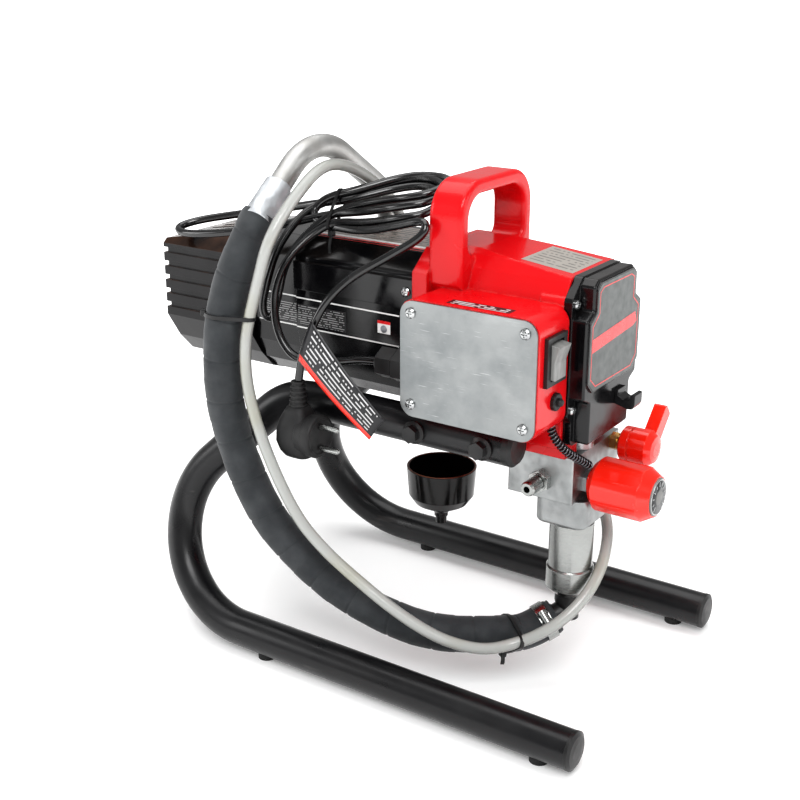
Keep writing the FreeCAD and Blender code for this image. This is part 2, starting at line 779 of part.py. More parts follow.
def control_board():
    """The motor control board on four posts, with its larger components."""
    board = box("board", (-92, -16), (-64, -62.4), (262, 334))
    shapes = [board]
    for x in (-86, -22):
        for z in (268, 328):
            shapes.append(cylinder("board_post", "y", -62.4, -52, 3, (x, z)))
    for x in (-74, -56):
        shapes.append(cylinder("board_capacitor", "y", -86, -64, 8, (x, 316)))
    shapes.append(box("board_heat_sink", (-40, -24), (-84, -64), (300, 330)))
    shapes.append(box("board_relay", (-82, -62), (-78, -64), (270, 286)))
    shapes.append(box("board_terminal", (-52, -30), (-74, -64), (268, 278)))
    keep("control_board", fuse("control_board", *shapes))


# ---------------------------------------------------------------- motor

def motor_shroud():
    """The glossy motor shroud, with the fuller front part over the terminals."""
    rear = extruded("shroud_rear_part", "x", motor_outline(2.5), size.shroud_rear, size.shroud_step)
    front = extruded("shroud_front_part", "x", motor_outline(), size.shroud_step, size.shroud_front)
    dress(front, "Fillet", 6, runs_along("x", 353, 371, "z"))
    bulges = []
    for side in (-1, 1):
        low, high = (50, 61.5) if side > 0 else (-61.5, -50)
        bulge = box("shroud_bulge", (size.shroud_step, size.shroud_front), (low, high), (325, 350))
        bulges.append(bulge)
    hollow_front = extruded("shroud_hollow_front", "x", motor_outline(3.0), size.shroud_step + 3,
                            size.shroud_front + 1)
    hollow_rear = extruded("shroud_hollow_rear", "x", motor_outline(5.5), size.shroud_rear - 1,
                           size.shroud_step + 4)
    holes = [cylinder("shroud_hole", "y", -70, 70, 2 + size.loose, (-130, 339.5))]
    shell = fuse("shroud_solid", rear, front, *bulges)
    keep("motor_shroud", cut("motor_shroud", shell, hollow_front, hollow_rear, *holes))


def fan_cover():
    """The ribbed rear cover: ribs run fore and aft round both sides, the roof falls to the rear."""
    rear, front = size.fan_cover_rear, size.shroud_rear
    half = [(38, 366), (61, 346), (61, 278), (46, 254), (30, 237), (14, 231)]
    outer = extruded("fan_outer", "x", mirrored(half), rear, front)
    roof_line = [(front + 1, 367), (front + 1, 380), (rear - 1, 380), (rear - 1, 350)]
    roof = extruded("fan_roof", "y", roof_line, -70, 70)
    grooves = []
    for level in (288, 301, 314, 327, 340):
        heights = (level - 2.5, level + 2.5)
        for sides in ((58.5, 70), (-70, -58.5)):
            grooves.append(box("fan_groove", (rear - 1, front - 14), sides, heights))
        grooves.append(box("fan_rear_groove", (rear - 1, rear + 3), (-70, 70), heights))
    for offset in (-24, -8, 8, 24):
        grooves.append(box("fan_vent", (rear + 14, rear + 52), (offset - 3, offset + 3), (340, 380)))
        grooves.append(box("fan_rear_vent", (rear - 1, rear + 10), (offset - 3, offset + 3), (262, 330)))
    inner_half = [(34, 361), (56, 342), (56, 280), (42, 257), (28, 242), (14, 235)]
    inner = extruded("fan_inner", "x", mirrored(inner_half), rear + 5, front + 1)
    inner_roof_line = [(front + 2, 361), (front + 2, 380), (rear - 1, 380), (rear - 1, 344)]
    inner_roof = extruded("fan_inner_roof", "y", inner_roof_line, -70, 70)
    hollow = cut("fan_hollow", inner, inner_roof)
    keep("fan_cover", cut("fan_cover", cut("fan_sloped", outer, roof), hollow, *grooves))


def shroud_screws():
    screws = []
    for side, turn in ((-1, "-y"), (1, "y")):
        place = (-130, side * 61.5, 339.5)
        screws.append(pan_screw("shroud_screw", place, turn, 4.2, 2.6, 12))
    keep("shroud_screws", group("shroud_screws", screws))


def motor_front_plate():
    """The motor's front end plate, with seats for the armature and layshaft bearings."""
    rim = extruded("plate_rim", "x", motor_outline(4.0), size.shroud_front - 12, size.shroud_front)
    hub = box("plate_hub", (size.shroud_front, -110.5), (-38.5, 38.5), (231.5, 330))
    shaft_seat = cylinder("shaft_seat", "x", -122, -100, 14, (0, size.motor_z))
    shaft_hole = cylinder("shaft_hole", "x", -140, -121, 8, (0, size.motor_z))
    cluster_seat = cylinder("cluster_seat", "x", -121, -100, 16, (0, size.motor_z - size.gear_centres))
    screw_hole = cylinder("rim_hole", "y", -70, 70, 2 + size.loose, (-130, 339.5))
    solid = fuse("front_plate_solid", rim, hub)
    plate = cut("motor_front_plate", solid, shaft_seat, shaft_hole, cluster_seat, screw_hole)
    keep("motor_front_plate", plate)


def motor_can():
    """The deep-drawn motor can, closed at the rear round the rear bearing."""
    radius, front = size.can_radius, size.shroud_front - 12
    profile = [(0, 14), (0, 20), (4, 20), (4, radius - 3), (8, radius), (front + 298, radius),
               (front + 298, radius - 3), (9, radius - 3), (9, 20), (12, 20), (12, 14)]
    keep("motor_can", turned("can", profile, (-298, 0, size.motor_z)), (-298,))


def field_magnets():
    """Two curved magnets, above and below the armature."""
    outer = cylinder("magnet_outer", "x", -262, -150, size.can_radius - 3.05, (0, size.motor_z))
    inner = cylinder("magnet_inner", "x", -263, -149, size.can_radius - 8, (0, size.motor_z))
    gap = box("magnet_gap", (-263, -149), (-60, 60), (size.motor_z - 18, size.motor_z + 18))
    keep("field_magnets", cut("field_magnets", outer, inner, gap))


def armature():
    """The armature: shaft with its cut pinion, and the wound core with the commutator."""
    start = Vector(-330, 0, float(size.motor_z))
    shaft = Part.makeCylinder(float(size.shaft_radius), 222, start, Vector(1, 0, 0))
    pinion = gear(size.pinion_teeth, size.fine_module, -108.5, -96, size.motor_z, -90)
    obj = doc.addObject("Part::Feature", "armature_shaft")
    obj.Shape = shaft.fuse(pinion)
    keep("armature_shaft", obj)
    core = cylinder("core_stack", "x", -260, -152, 38, (0, size.motor_z))
    windings = cylinder("core_windings", "x", -268, -144, 29, (0, size.motor_z))
    commutator = cylinder("core_commutator", "x", -284, -268, 15, (0, size.motor_z))
    bore = cylinder("core_bore", "x", -290, -140, size.shaft_radius, (0, size.motor_z))
    slots = []
    for step in range(12):
        angle = math.radians(30 * step)
        centre = (35 * math.cos(angle), size.motor_z + 35 * math.sin(angle))
        slots.append(cylinder("core_slot", "x", -261, -151, 3.2, centre))
    solid = fuse("core_solid", core, windings, commutator)
    keep("armature_core", cut("armature_core", solid, bore, *slots))


def brush_sets():
    """Two carbon brushes in their holders, one each side of the commutator."""
    brushes = []
    for side in (-1, 1):
        low, high = (15.1, 43.9) if side > 0 else (-43.9, -15.1)
        holder_low, holder_high = (22, 43) if side > 0 else (-43, -22)
        block = box("brush_block", (-280, -272), (low, high), (size.motor_z - 3, size.motor_z + 3))
        holder = box("brush_holder", (-283, -269), (holder_low, holder_high),
                     (size.motor_z - 6, size.motor_z + 6))
        brushes.append(fuse("brush_set", block, holder))
    keep("brush_sets", group("brush_sets", brushes))


def cooling_fan():
    """The armature's fan behind the motor can."""
    axis = (0, size.motor_z)
    hub = cylinder("fan_hub", "x", -328, -310, 12, axis)
    disc = cylinder("fan_disc", "x", -313, -310, 41, axis)
    blades = []
    for step in range(9):
        blade = doc.addObject("Part::Box", "fan_blade")
        blade.Length, blade.Width, blade.Height = 15, 2, 29
        turn = FreeCAD.Rotation(Vector(1, 0, 0), 40 * step)
        start = turn.multVec(Vector(0, 0, 11))
        locate(blade, (-327, start.y, start.z + size.motor_z), turn)
        blades.append(blade)
    bore = cylinder("fan_bore", "x", -330, -309, size.shaft_radius, axis)
    keep("cooling_fan", cut("cooling_fan", fuse("fan_solid", hub, disc, *blades), bore))


def bearing(name, low, width, outer, centre_z):
    """A sealed ball bearing as one ring with shield grooves in both faces."""
    bore = size.shaft_radius + size.running
    middle = (float(bore) + outer) / 2
    profile = [(0, bore), (0, middle - 2.5), (0.6, middle - 2.5), (0.6, middle + 2.5), (0, middle + 2.5),
               (0, outer), (width, outer), (width, middle + 2.5), (width - 0.6, middle + 2.5),
               (width - 0.6, middle - 2.5), (width, middle - 2.5), (width, bore)]
    return turned(name, profile, (low, 0, centre_z))


def bearings():
    """Ball bearings of the armature, the crankshaft and the layshaft."""
    layshaft_z = size.motor_z - size.gear_centres
    rings = [bearing("motor_bearing", low, 8, 14, size.motor_z) for low in (-296, -119)]
    for centre_z, starts in ((size.motor_z, (-61.5, -45)), (layshaft_z, (-61.5, -120))):
        rings += [bearing("gear_bearing", low, 10, 16, centre_z) for low in starts]
    keep("ball_bearings", group("ball_bearings", rings))


# ---------------------------------------------------------------- gear train and pump drive

PRESSURE_ANGLE = math.radians(25)
BACKLASH = 0.12


def gear(teeth, module, low, high, centre_z, tooth_at):
    """An involute spur gear about +X; tooth_at is the direction of one tooth, in degrees."""
    teeth, module = round(float(teeth)), float(module)
    pitch, root = teeth * module / 2, teeth * module / 2 - 1.15 * module
    tip, base = pitch + 0.85 * module, pitch * math.cos(PRESSURE_ANGLE)
    half_tooth = math.pi / (2 * teeth) - BACKLASH / (4 * pitch)

    def involute(angle):
        return math.tan(angle) - angle

    def half_angle(radius):
        roll = math.acos(min(1.0, base / max(radius, base)))
        return half_tooth + involute(PRESSURE_ANGLE) - involute(roll)

    def at(radius, angle):
        return Vector(low, radius * math.cos(angle), float(centre_z) + radius * math.sin(angle))

    start = max(base, root + 0.05 * module)
    levels = [start + (tip - start) * step / 4 for step in range(5)]
    edges = []
    for tooth in range(teeth):
        middle = math.radians(tooth_at) + 2 * math.pi * tooth / teeth
        after = middle + 2 * math.pi / teeth
        rising = [at(radius, middle - half_angle(radius)) for radius in levels]
        falling = [at(radius, middle + half_angle(radius)) for radius in reversed(levels)]
        foot_in = at(root, middle - half_angle(start))
        foot_out = at(root, middle + half_angle(start))
        next_foot = at(root, after - half_angle(start))
        flanks = []
        for points in (rising, falling):
            curve = Part.BSplineCurve()
            curve.interpolate(points)
            flanks.append(curve.toShape())
        edges.append(Part.makeLine(foot_in, rising[0]))
        edges.append(flanks[0])
        edges.append(Part.Arc(rising[-1], at(tip, middle), falling[0]).toShape())
        edges.append(flanks[1])
        edges.append(Part.makeLine(falling[-1], foot_out))
        edges.append(Part.Arc(foot_out, at(root, middle + math.pi / teeth), next_foot).toShape())
    face = Part.Face(Part.Wire(Part.__sortEdges__(edges)))
    return face.extrude(Vector(high - low, 0, 0))


def cluster_gear():
    """The layshaft: a large wheel driven by the motor pinion and a small coarse pinion."""
    centre_z = size.motor_z - size.gear_centres
    half_pitch = 180 / float(size.cluster_teeth)
    wheel = gear(size.cluster_teeth, size.fine_module, -107.5, -97.5, centre_z, 90 + half_pitch)
    pinion = gear(size.cluster_pinion_teeth, size.coarse_module, -97.5, -81, centre_z, 90)
    start = Vector(-120, 0, float(centre_z))
    shaft = Part.makeCylinder(float(size.shaft_radius), 68.5, start, Vector(1, 0, 0))
    obj = doc.addObject("Part::Feature", "cluster_gear")
    obj.Shape = wheel.fuse([pinion, shaft])
    keep("cluster_gear", obj)


def crank_gear():
    """The output wheel, crankshaft, crank disc and its short crank pin."""
    half_pitch = 180 / float(size.crank_teeth)
    centre_z = float(size.motor_z)
    wheel = gear(size.crank_teeth, size.coarse_module, -94, -82, size.motor_z, -90 + half_pitch)
    along = Vector(1, 0, 0)
    shaft = Part.makeCylinder(float(size.shaft_radius), 70, Vector(-94, 0, centre_z), along)
    disc = Part.makeCylinder(19, 10, Vector(-24, 0, centre_z), along)
    pin = Part.makeCylinder(5, 4.5, Vector(-14, float(size.crank_throw), centre_z), along)
    obj = doc.addObject("Part::Feature", "crank_gear")
    obj.Shape = wheel.fuse([shaft, disc, pin])
    keep("crank_gear", obj)


def piston_yoke():
    """The slotted yoke that the crank pin drives up and down, with its collar for the rod."""
    level = size.motor_z
    reach = size.crank_throw + 5.5
    frame = box("yoke_frame", (-9, 9), (-(reach + 6), reach + 6), (level - 12, level + 12))
    slot = box("yoke_slot", (-10, 10), (-reach, reach), (level - 5.1, level + 5.1))
    collar = cylinder("yoke_collar", "z", level - 28, level - 12, size.rod_radius + 1.4, (0, 0))
    bore = cylinder("yoke_bore", "z", level - 29, level - 14, size.rod_radius, (0, 0))
    keep("piston_yoke", cut("piston_yoke", fuse("yoke_solid", frame, collar), slot, bore))


def piston_rod():
    """The piston rod with its grooved piston."""
    head, bore = size.cylinder_bore - size.running, size.rod_radius
    top = size.motor_z - 14
    profile = [(123, 0), (123, head), (126, head), (126, head - 1.5), (129, head - 1.5), (129, head),
               (133, head), (133, bore), (top, bore), (top, 0)]
    keep("piston_rod", turned("rod", profile, along="z"))


def packings():
    """The stacked throat packings and the nut that presses them down."""
    inner = size.rod_radius + size.running
    stack = [(191, inner), (191, 11.9), (196.5, 11.9), (197, 11.4), (197.5, 11.9), (203.5, 11.9),
             (204, 11.4), (204.5, 11.9), (209.9, 11.9), (209.9, inner)]
    keep("throat_packings", turned("packing_stack", stack, along="z"))
    nut_profile = [(210, inner), (210, 11.8), (214.6, 11.8), (214.6, 15), (226, 15), (226, inner)]
    nut = turned("nut_turn", nut_profile, along="z")
    slots = [box("nut_slot_x", (-20, 20), (-2.5, 2.5), (221, 230)),
             box("nut_slot_y", (-2.5, 2.5), (-20, 20), (221, 230))]
    keep("packing_nut", cut("packing_nut", nut, *slots))


# ---------------------------------------------------------------- pump

def pump_manifold():
    """The aluminium block: a wide upper part with the ports, a narrower part for the cylinder."""
    upper = extruded("upper_block", "z", rectangle((size.block_rear, size.block_front),
                                                   (size.block_near_y, size.block_far_y)),
                     size.block_bottom, size.neck_bottom)
    dress(upper, "Chamfer", 1.0, runs_along("z"))
    half = size.lower_block_half
    lower = extruded("lower_block", "z", rectangle((-half, size.lower_block_front), (-half, half)),
                     size.lower_block_bottom, size.block_bottom)
    dress(lower, "Fillet", 10, runs_along("z"))
    dress(lower, "Fillet", 3, in_plane("z", size.lower_block_bottom))
    cylinder_bore = cylinder("cylinder_socket", "z", 140, 172, 17, (0, 0))
    chamber = cylinder("chamber", "z", 170, 191, 11.5, (0, 0))
    packing_bore = cylinder("packing_bore", "z", 190, 220, 12, (0, 0))
    outlet = cylinder("outlet_port", "y", -40, -8, 5, (size.outlet_x, size.outlet_z))
    control = cylinder("control_port", "x", 8, 20, 6, (size.knob_y, size.knob_z))
    valve = cylinder("valve_port", "x", 0, 20, 5, (size.valve_y, size.valve_z))
    drain = cylinder("drain_port", "z", 160, 208, 3, (4, size.valve_y))
    keep("pump_manifold", cut("pump_manifold", fuse("block_solid", upper, lower), cylinder_bore, chamber,
                              packing_bore, outlet, control, valve, drain))


def pump_cylinder():
    """The ground steel pump cylinder with its threaded upper end."""
    bore, radius, low = size.cylinder_bore, size.cylinder_radius, size.cylinder_bottom
    step, top, thread = size.lower_block_bottom, 171.5, 16.9
    profile = [(low, bore), (low, radius), (step - 2.5, radius), (step - 2.5, 17.5), (step, 17.5),
               (step, thread), (top, thread), (top, bore)]
    keep("pump_cylinder", turned("cylinder_turn", profile, along="z"))


def inlet_housing():
    """The foot-valve housing under the cylinder, with the seat for the inlet ball."""
    low, wide, step = size.cylinder_bottom, size.cylinder_radius + 1.5, size.inlet_step
    seat_z, seat_radius, ball_radius, chamber = 93, 4.5, 6, 8
    spigot, spigot_top = size.cylinder_bore - 0.1, 110
    profile = [(step - 7, seat_radius), (step - 7, 9.5), (step, 9.5), (step, 12.8), (step + 7.5, wide),
               (low - 1.2, wide), (low, wide - 1.2), (low, spigot), (spigot_top, spigot),
               (spigot_top, chamber), (seat_z, chamber), (seat_z, seat_radius)]
    keep("inlet_housing", turned("inlet_turn", profile, along="z"))
    ball = doc.addObject("Part::Sphere", "ball")
    bind(ball, "Radius", ball_radius)
    rest = seat_z + math.sqrt(ball_radius ** 2 - seat_radius ** 2) + 0.05
    keep("inlet_ball", locate(ball, (0, 0, rest)))


def outlet_fitting():
    """The high-pressure outlet nipple on the near face of the block."""
    face, x, z = size.block_near_y, size.outlet_x, size.outlet_z
    flats = extruded("outlet_flats", "y", hexagon(17, (x, z)), face - 7, face)
    nipple = [(-8, 2.8), (-8, 4.9), (0, 4.9), (7, 7.6), (8.5, 7.6), (8.5, 5.4), (10, 5.4), (10, 6), (11, 6),
              (11, 5.4), (12, 5.4), (12, 6.4), (24, 6.4), (26, 5.2), (26, 2.8)]
    tube = turned("outlet_tube", nipple, (x, face, z), "-y")
    bore = cylinder("outlet_bore", "y", face - 40, face + 20, 2.8, (x, z))
    keep("outlet_fitting", cut("outlet_fitting", fuse("outlet_solid", flats, tube), bore))


def inlet_elbow():
    """The black inlet elbow: a collar under the pump and a barb heading for the hose."""
    top, root, spigot = size.inlet_step, size.barb_root_z, 9.6
    collar = turned("elbow_collar", [(0, 0), (0, 12), (-8, 12), (-18, 9.5), (-24, 9.5), (-24, 0)],
                    (0, 0, top), "z")
    socket = cylinder("elbow_socket", "z", top - 7.1, top + 7, spigot, (0, 0))
    barb_profile = [(0, 0), (0, 9.5), (12, 9.5), (12, 10.5), (24, 9), (24, 10.5), (36, 9), (36, 0)]
    barb = turned("elbow_barb", barb_profile)
    locate(barb, (0, 0, root), FreeCAD.Rotation(Vector(1, 0, 0), HOSE_HEADING))
    keep("inlet_elbow", cut("inlet_elbow", fuse("elbow_solid", collar, barb), socket))


def hose_clamp():
    """The worm-drive clamp round the end of the suction hose, its screw on the near side."""
    inner = size.suction_radius + size.loose
    rear, front, screw_radius, screw_half = 19, 29, 4, 8
    root = Vector(0, 0, float(size.barb_root_z))
    turn = FreeCAD.Rotation(Vector(1, 0, 0), HOSE_HEADING)
    band = turned("clamp_band", [(rear, inner), (rear, inner + 1), (front, inner + 1), (front, inner)])
    locate(band, root, turn)
    outward = Vector(0.43, -0.7, 0.565)
    across = HOSE_HEADING.cross(outward).normalize()
    middle = root + HOSE_HEADING * ((rear + front) / 2) + outward * (float(inner) + screw_radius - 1)
    shapes = [band]
    for radius, low, high in ((screw_radius, -screw_half, screw_half), (screw_radius + 1, 5, 7)):
        barrel = doc.addObject("Part::Cylinder", "clamp_screw")
        bind(barrel, "Radius", radius)
        bind(barrel, "Height", high - low)
        locate(barrel, middle + across * low, FreeCAD.Rotation(Vector(0, 0, 1), across))
        shapes.append(barrel)
    core = turned("clamp_core", [(rear - 9, 0), (rear - 9, inner), (front + 9, inner), (front + 9, 0)])
    locate(core, root, turn)
    keep("hose_clamp", cut("hose_clamp", fuse("clamp_solid", *shapes), core))


# ---------------------------------------------------------------- pressure control and prime valve

def pressure_control():
    """The pressure control in the block's front face, with its big faceted knob."""
    front, y, z = size.block_front, size.knob_y, size.knob_z
    flats = extruded("control_flats", "x", hexagon(21, (y, z)), front, front + 4)
    stem = [(-2, 0), (-2, 5.9), (0, 5.9), (4, 9), (4.6, 9), (4.6, 8), (46, 8), (46, 0)]
    keep("pressure_control", fuse("pressure_control", flats, turned("control_stem", stem, (front, y, z))))
    knob_rear, length, radius = front + 5, 57.5, size.knob_radius
    bore, rear_hub, hub_length = 8 + size.running, 12.8, 3.5
    profile = [(0, rear_hub), (hub_length, rear_hub), (hub_length, 18.5), (9, radius), (47, radius),
               (length, 17.2), (length, 16), (length - 2, 16), (length - 2, 0), (43, 0), (43, bore),
               (0, bore)]
    barrel = turned("knob_barrel", profile, (knob_rear, y, z))
    outline = octagon(radius * 1.9, (y, z))
    facets = extruded("knob_facets", "x", outline, knob_rear - 1, knob_rear + length + 1)
    dress(facets, "Fillet", 14, runs_along("x"))
    keep("pressure_knob", common("pressure_knob", barrel, facets))
    disc = [(0, 0), (0, 15.9), (2.6, 15.9), (3.2, 15.2), (3.2, 0)]
    face_x = knob_rear + length - 2
    keep("knob_cap", turned("cap_disc", disc, (face_x, y, z)), (face_x,))


def octagon(across_flats, centre):
    """Corners of an octagonal outline that stands on a flat."""
    reach = across_flats / (2 * math.cos(math.radians(22.5)))
    corners = []
    for step in range(8):
        angle = math.radians(45 * step + 22.5)
        corners.append((reach * math.cos(angle) + centre[0], reach * math.sin(angle) + centre[1]))
    return corners


def prime_valve():
    """The prime valve in the block's front face and its red lever handle, set to 'spray'."""
    front, y, z = size.block_front, size.valve_y, size.valve_z
    flats = extruded("valve_flats", "x", hexagon(14, (y, z)), front, front + 6)
    stem = [(-13, 0), (-13, 4.9), (0, 4.9), (6, 6.5), (10, 6.5), (10, 5), (26, 5), (26, 0)]
    keep("prime_valve", fuse("prime_valve", flats, turned("valve_stem", stem, (front, y, z))))
    rear, radius = front + 10.5, size.valve_radius
    barrel_profile = [(0, 5 + size.running), (0, radius - 1.5), (1.5, radius), (8, radius), (8, radius - 1),
                      (9.5, radius - 1), (9.5, radius), (24, radius), (29, radius - 4), (30, radius - 9),
                      (30, 0), (17, 0), (17, 5 + size.running)]
    barrel = turned("valve_barrel", barrel_profile, (rear, y, z))
    paddle = extruded("valve_paddle", "x", [(-7, 0), (7, 0), (8, 38), (-5, 40)], 16, 27)
    dress(paddle, "Fillet", 2, runs_along("x", 30, 50, "z"))
    locate(paddle, (rear, y, z), FreeCAD.Rotation(Vector(1, 0, 0), -42))
    core = cylinder("valve_core", "x", rear - 1, rear + 17, 5 + size.running, (y, z))
    keep("prime_valve_handle", cut("prime_valve_handle", fuse("valve_solid", barrel, paddle), core))


def drain_barb():
    """The barb under the block that the return hose is pushed onto."""
    profile = [(0, 1.8), (0, 5), (-4, 5), (-4, 3), (-8, 3), (-9, 3.6), (-14, 2.9), (-14, 1.8)]
    barb_x = 4
    keep("drain_barb", turned("barb", profile, (barb_x, size.valve_y, size.block_bottom), "z"), (barb_x,))


def sensor_cable():
    """The pressure sensor's cable in its coiled spring guard, box to pressure control."""
    points = [(4, -56, 252), (5, -54, 241), (12, -45, 226), (19, -25, 212), (22, -17.5, 206)]
    cable = swept("cable_core", points, 2.2)
    keep("sensor_cable", cable)


# ---------------------------------------------------------------- hoses, cord and cup

def suction_set():
    """The padded suction hose, its foil sleeve, the aluminium gooseneck and the strainer."""
    barb_root = Vector(0, 0, float(size.barb_root_z))
    hose_points = [
        barb_root + HOSE_HEADING * 13.5, barb_root + HOSE_HEADING * 80, (-74, -76, 21.5), (-106, -87, 22),
        (-150, -96, 40), (-196, -104, 74), (-230, -112, 113), (-254, -121, 157), (-268, -129, 209),
        (-273, -131, 256), (-272, -130, 300), (-264, -124, 342), (-254, -116, 368), (-248.8, -111, 381),
    ]
    hose = swept("suction_solid", hose_points, size.suction_radius)
    barb_core = Part.makeCylinder(10.6, 28, barb_root + HOSE_HEADING * 10, HOSE_HEADING)
    hose.Shape = hose.Shape.cut(barb_core)
    keep("suction_hose", hose)
    gooseneck()
    basket = [(0, 0), (0, 10), (4, 16), (26, 16), (30, 12), (30, 0)]
    strainer = turned("basket", basket, (size.gooseneck_x, size.gooseneck_far_y, 312), "-z")
    keep("suction_strainer", strainer, (size.gooseneck_x,))


def gooseneck():
    """The bent aluminium suction tube over the motor, and the foil sleeve on its near end."""
    body = doc.addObject("PartDesign::Body", "gooseneck")
    foot, far_y = 312, float(size.gooseneck_far_y)
    side_r, crown_r, near_end = 45, 60, 52
    side_bend, crown = Vector(far_y - side_r, 362, 0), Vector(-25, 384, 0)
    crown_end = on_arc(crown, crown_r, 130)
    downward = (on_arc(crown, 1, 220) - crown)
    path = new_sketch(body, "YZ_Plane", size.gooseneck_x)
    draw_path(path, [
        (Vector(far_y, foot, 0), on_arc(side_bend, side_r, 0)),
        (on_arc(side_bend, side_r, 0), on_arc(side_bend, side_r, 28.5), on_arc(side_bend, side_r, 57)),
        (on_arc(side_bend, side_r, 57), on_arc(crown, crown_r, 57)),
        (on_arc(crown, crown_r, 57), on_arc(crown, crown_r, 93.5), crown_end),
        (crown_end, crown_end + downward * near_end),
    ])
    section = new_sketch(body, "XY_Plane", foot)
    radius = size.gooseneck_radius
    sweep_tube(body, path, section, (size.gooseneck_x, size.gooseneck_far_y), radius, radius - 1.8)
    keep("suction_tube", body)
    sleeve = turned("sleeve", [(0, radius + 0.1), (0, 12), (36, 13.5), (36, radius + 0.1)])
    top = crown_end + downward * (near_end - 33)
    turn = FreeCAD.Rotation(Vector(1, 0, 0), Vector(0, downward.x, downward.y))
    locate(sleeve, (size.gooseneck_x, top.x, top.y), turn)
    keep("tube_sleeve", sleeve, (size.gooseneck_x,))


def return_hose():
    """The clear return hose, from the drain barb round the pump and up beside the gooseneck."""
    points = [
        (4, 42, 169.5), (4, 42, 152), (16, 40, 130), (26, 14, 110), (27, -12, 92), (17, -34, 73),
        (0, -46, 56), (-17, -58, 43), (-38, -84, 32), (-72, -104, 38), (-112, -110, 58), (-149, -114, 88),
        (-192, -125, 158), (-218, -136, 224), (-231, -140, 276), (-234, -140, 327), (-222, -130, 380),
        (-216, -100, 420), (-215, -60, 435), (-215, -25, 431), (-216, 20, 409), (-218, 56, 380),
        (-220, 76, 345), (-220, 80, 300),
    ]
    barb_clear = 3.65
    hose = swept("return_solid", points, size.return_radius, barb_clear)
    keep("return_hose", hose)


def power_cord():
    """The supply cord: gland, near side, coil on the motor, then down to the plug."""
    lead = [(-128, -75, 281), (-162, -75, 281), (-176, -79, 277), (-206, -84, 272), (-232, -84, 292),
            (-240, -84, 326), (-238, -82, 355), (-230, -64, 375)]
    coil = []
    steps, last = 10, 36
    for step in range(last):
        angle = math.pi * 0.9 - 2 * math.pi * step / steps
        along, across = 50 * math.cos(angle), 20 * math.sin(angle)
        rise = 378 + 9.5 * step / steps
        coil.append((-174 + 0.87 * along - 0.5 * across, -22 + 0.5 * along + 0.87 * across, rise))
    tail = [(-126, -52, 396), (-133, -74, 376), (-154, -88, 354), (-178, -102, 328), (-192, -110, 304),
            (-202, -112, 280), (-205, -112, 262)]
    keep("power_cord", swept("cord", lead + coil + tail, size.cord_radius))


def plug():
    """The earthed mains plug that hangs from the cord, and its two pins."""
    relief = turned("plug_relief", [(0, 3.6), (0, 5), (24, 7), (24, 3.6)], (-205, -112, 262), "-z")
    body = box("plug_block", (-222, -190), (-126, -98), (196, 238))
    face = cylinder("plug_face", "x", -200, -182, 18, (-112, 217))
    keep("plug_body", fuse("plug_body", relief, body, face))
    pins = []
    for offset in (-9.5, 9.5):
        profile = [(0, 0), (0, 2.4), (17.5, 2.4), (19, 1.2), (19, 0)]
        pins.append(turned("plug_pin", profile, (-182, -112, 217 + offset)))
    keep("plug_pins", group("plug_pins", pins))


def cord_tag():
    """The printed tag folded round the cord, a stiff flag hanging to the front."""
    outline = [(-185.5, 319), (-200, 283), (-128.5, 228), (-113.5, 248)]
    keep("cord_tag", extruded("tag", "y", outline, -118.5, -117.5))


def drip_cup():
    """The open cup under the motor, on a strap from the housing's base."""
    profile = [(109, 0), (109, 5), (116, 5), (116, 6.2), (119, 6.2), (122, 9), (130, 24), (138, 29.5),
               (164.5, 31.5), (164.5, 29.3), (139, 27.3), (131, 21.5), (124, 6.5), (124, 0)]
    cup = turned("cup_turn", profile, (-132, 0, 0), "z")
    strap = box("cup_strap", (-138, -126), (30, 32.5), (150, 227))
    lug = box("cup_lug", (-138, -100), (16, 34), (212.5, 214.5))
    keep("drip_cup", fuse("drip_cup", cup, strap, lug))


def tie(first, first_radius, second, second_radius, heading):
    """A nylon tie pulled round two round things: a thin band along the heading, with its head."""
    heading = Vector(*heading).normalize()
    across = second - first
    across = (across - heading * across.dot(heading)).normalize()
    gap = (second - first).dot(across)
    up = heading.cross(across)

    def hull(extra):
        big, small = first_radius + extra, second_radius + extra
        lean = math.asin((big - small) / gap)
        corners = []
        for radius, shift in ((big, 0), (small, gap)):
            for side in (1, -1):
                offset = across * (shift + radius * math.sin(lean)) + up * (side * radius * math.cos(lean))
                corners.append(first + offset)
        back, front = first - across * big, first + across * (gap + small)
        edges = [Part.Arc(corners[1], back, corners[0]).toShape(), Part.makeLine(corners[0], corners[2]),
                 Part.Arc(corners[2], front, corners[3]).toShape(), Part.makeLine(corners[3], corners[1])]
        return Part.Face(Part.Wire(edges)).extrude(heading * 4)

    band = hull(1.6).cut(hull(0.4))
    head = Part.makeBox(6, 5, 5, first + up * (first_radius + 0.6), heading)
    band = band.fuse(head).cut(hull(0.4))
    band.translate(heading * -2)
    return band


def nearest(name, place):
    """The point of a hose's centre line nearest to a place."""
    return centre_lines[name].distToShape(Part.Vertex(Vector(*place)))[1][0][0]


def hose_ties():
    """Ties that hold the return hose to the suction hose, and one round the coiled cord."""
    hose, thin = float(size.suction_radius), float(size.return_radius)
    bands = []
    for place, heading in (((-272, -130, 300), (0.06, 0.06, 1)), ((-26, -36.4, 41), (-0.62, -0.7, -0.4))):
        centre = nearest("suction_solid", place)
        bands.append(tie(centre, hose, nearest("return_solid", centre), thin, heading))
    coil_low, coil_high = Vector(-218, -44, 379), Vector(-218, -44, 409)
    bands.append(tie(coil_low, COIL_TIE_RADIUS, coil_high, COIL_TIE_RADIUS, (0.9, 0.42, 0)))
    obj = doc.addObject("Part::Feature", "hose_ties")
    obj.Shape = Part.makeCompound(bands)
    keep("hose_ties", obj)


# ---------------------------------------------------------------- the model

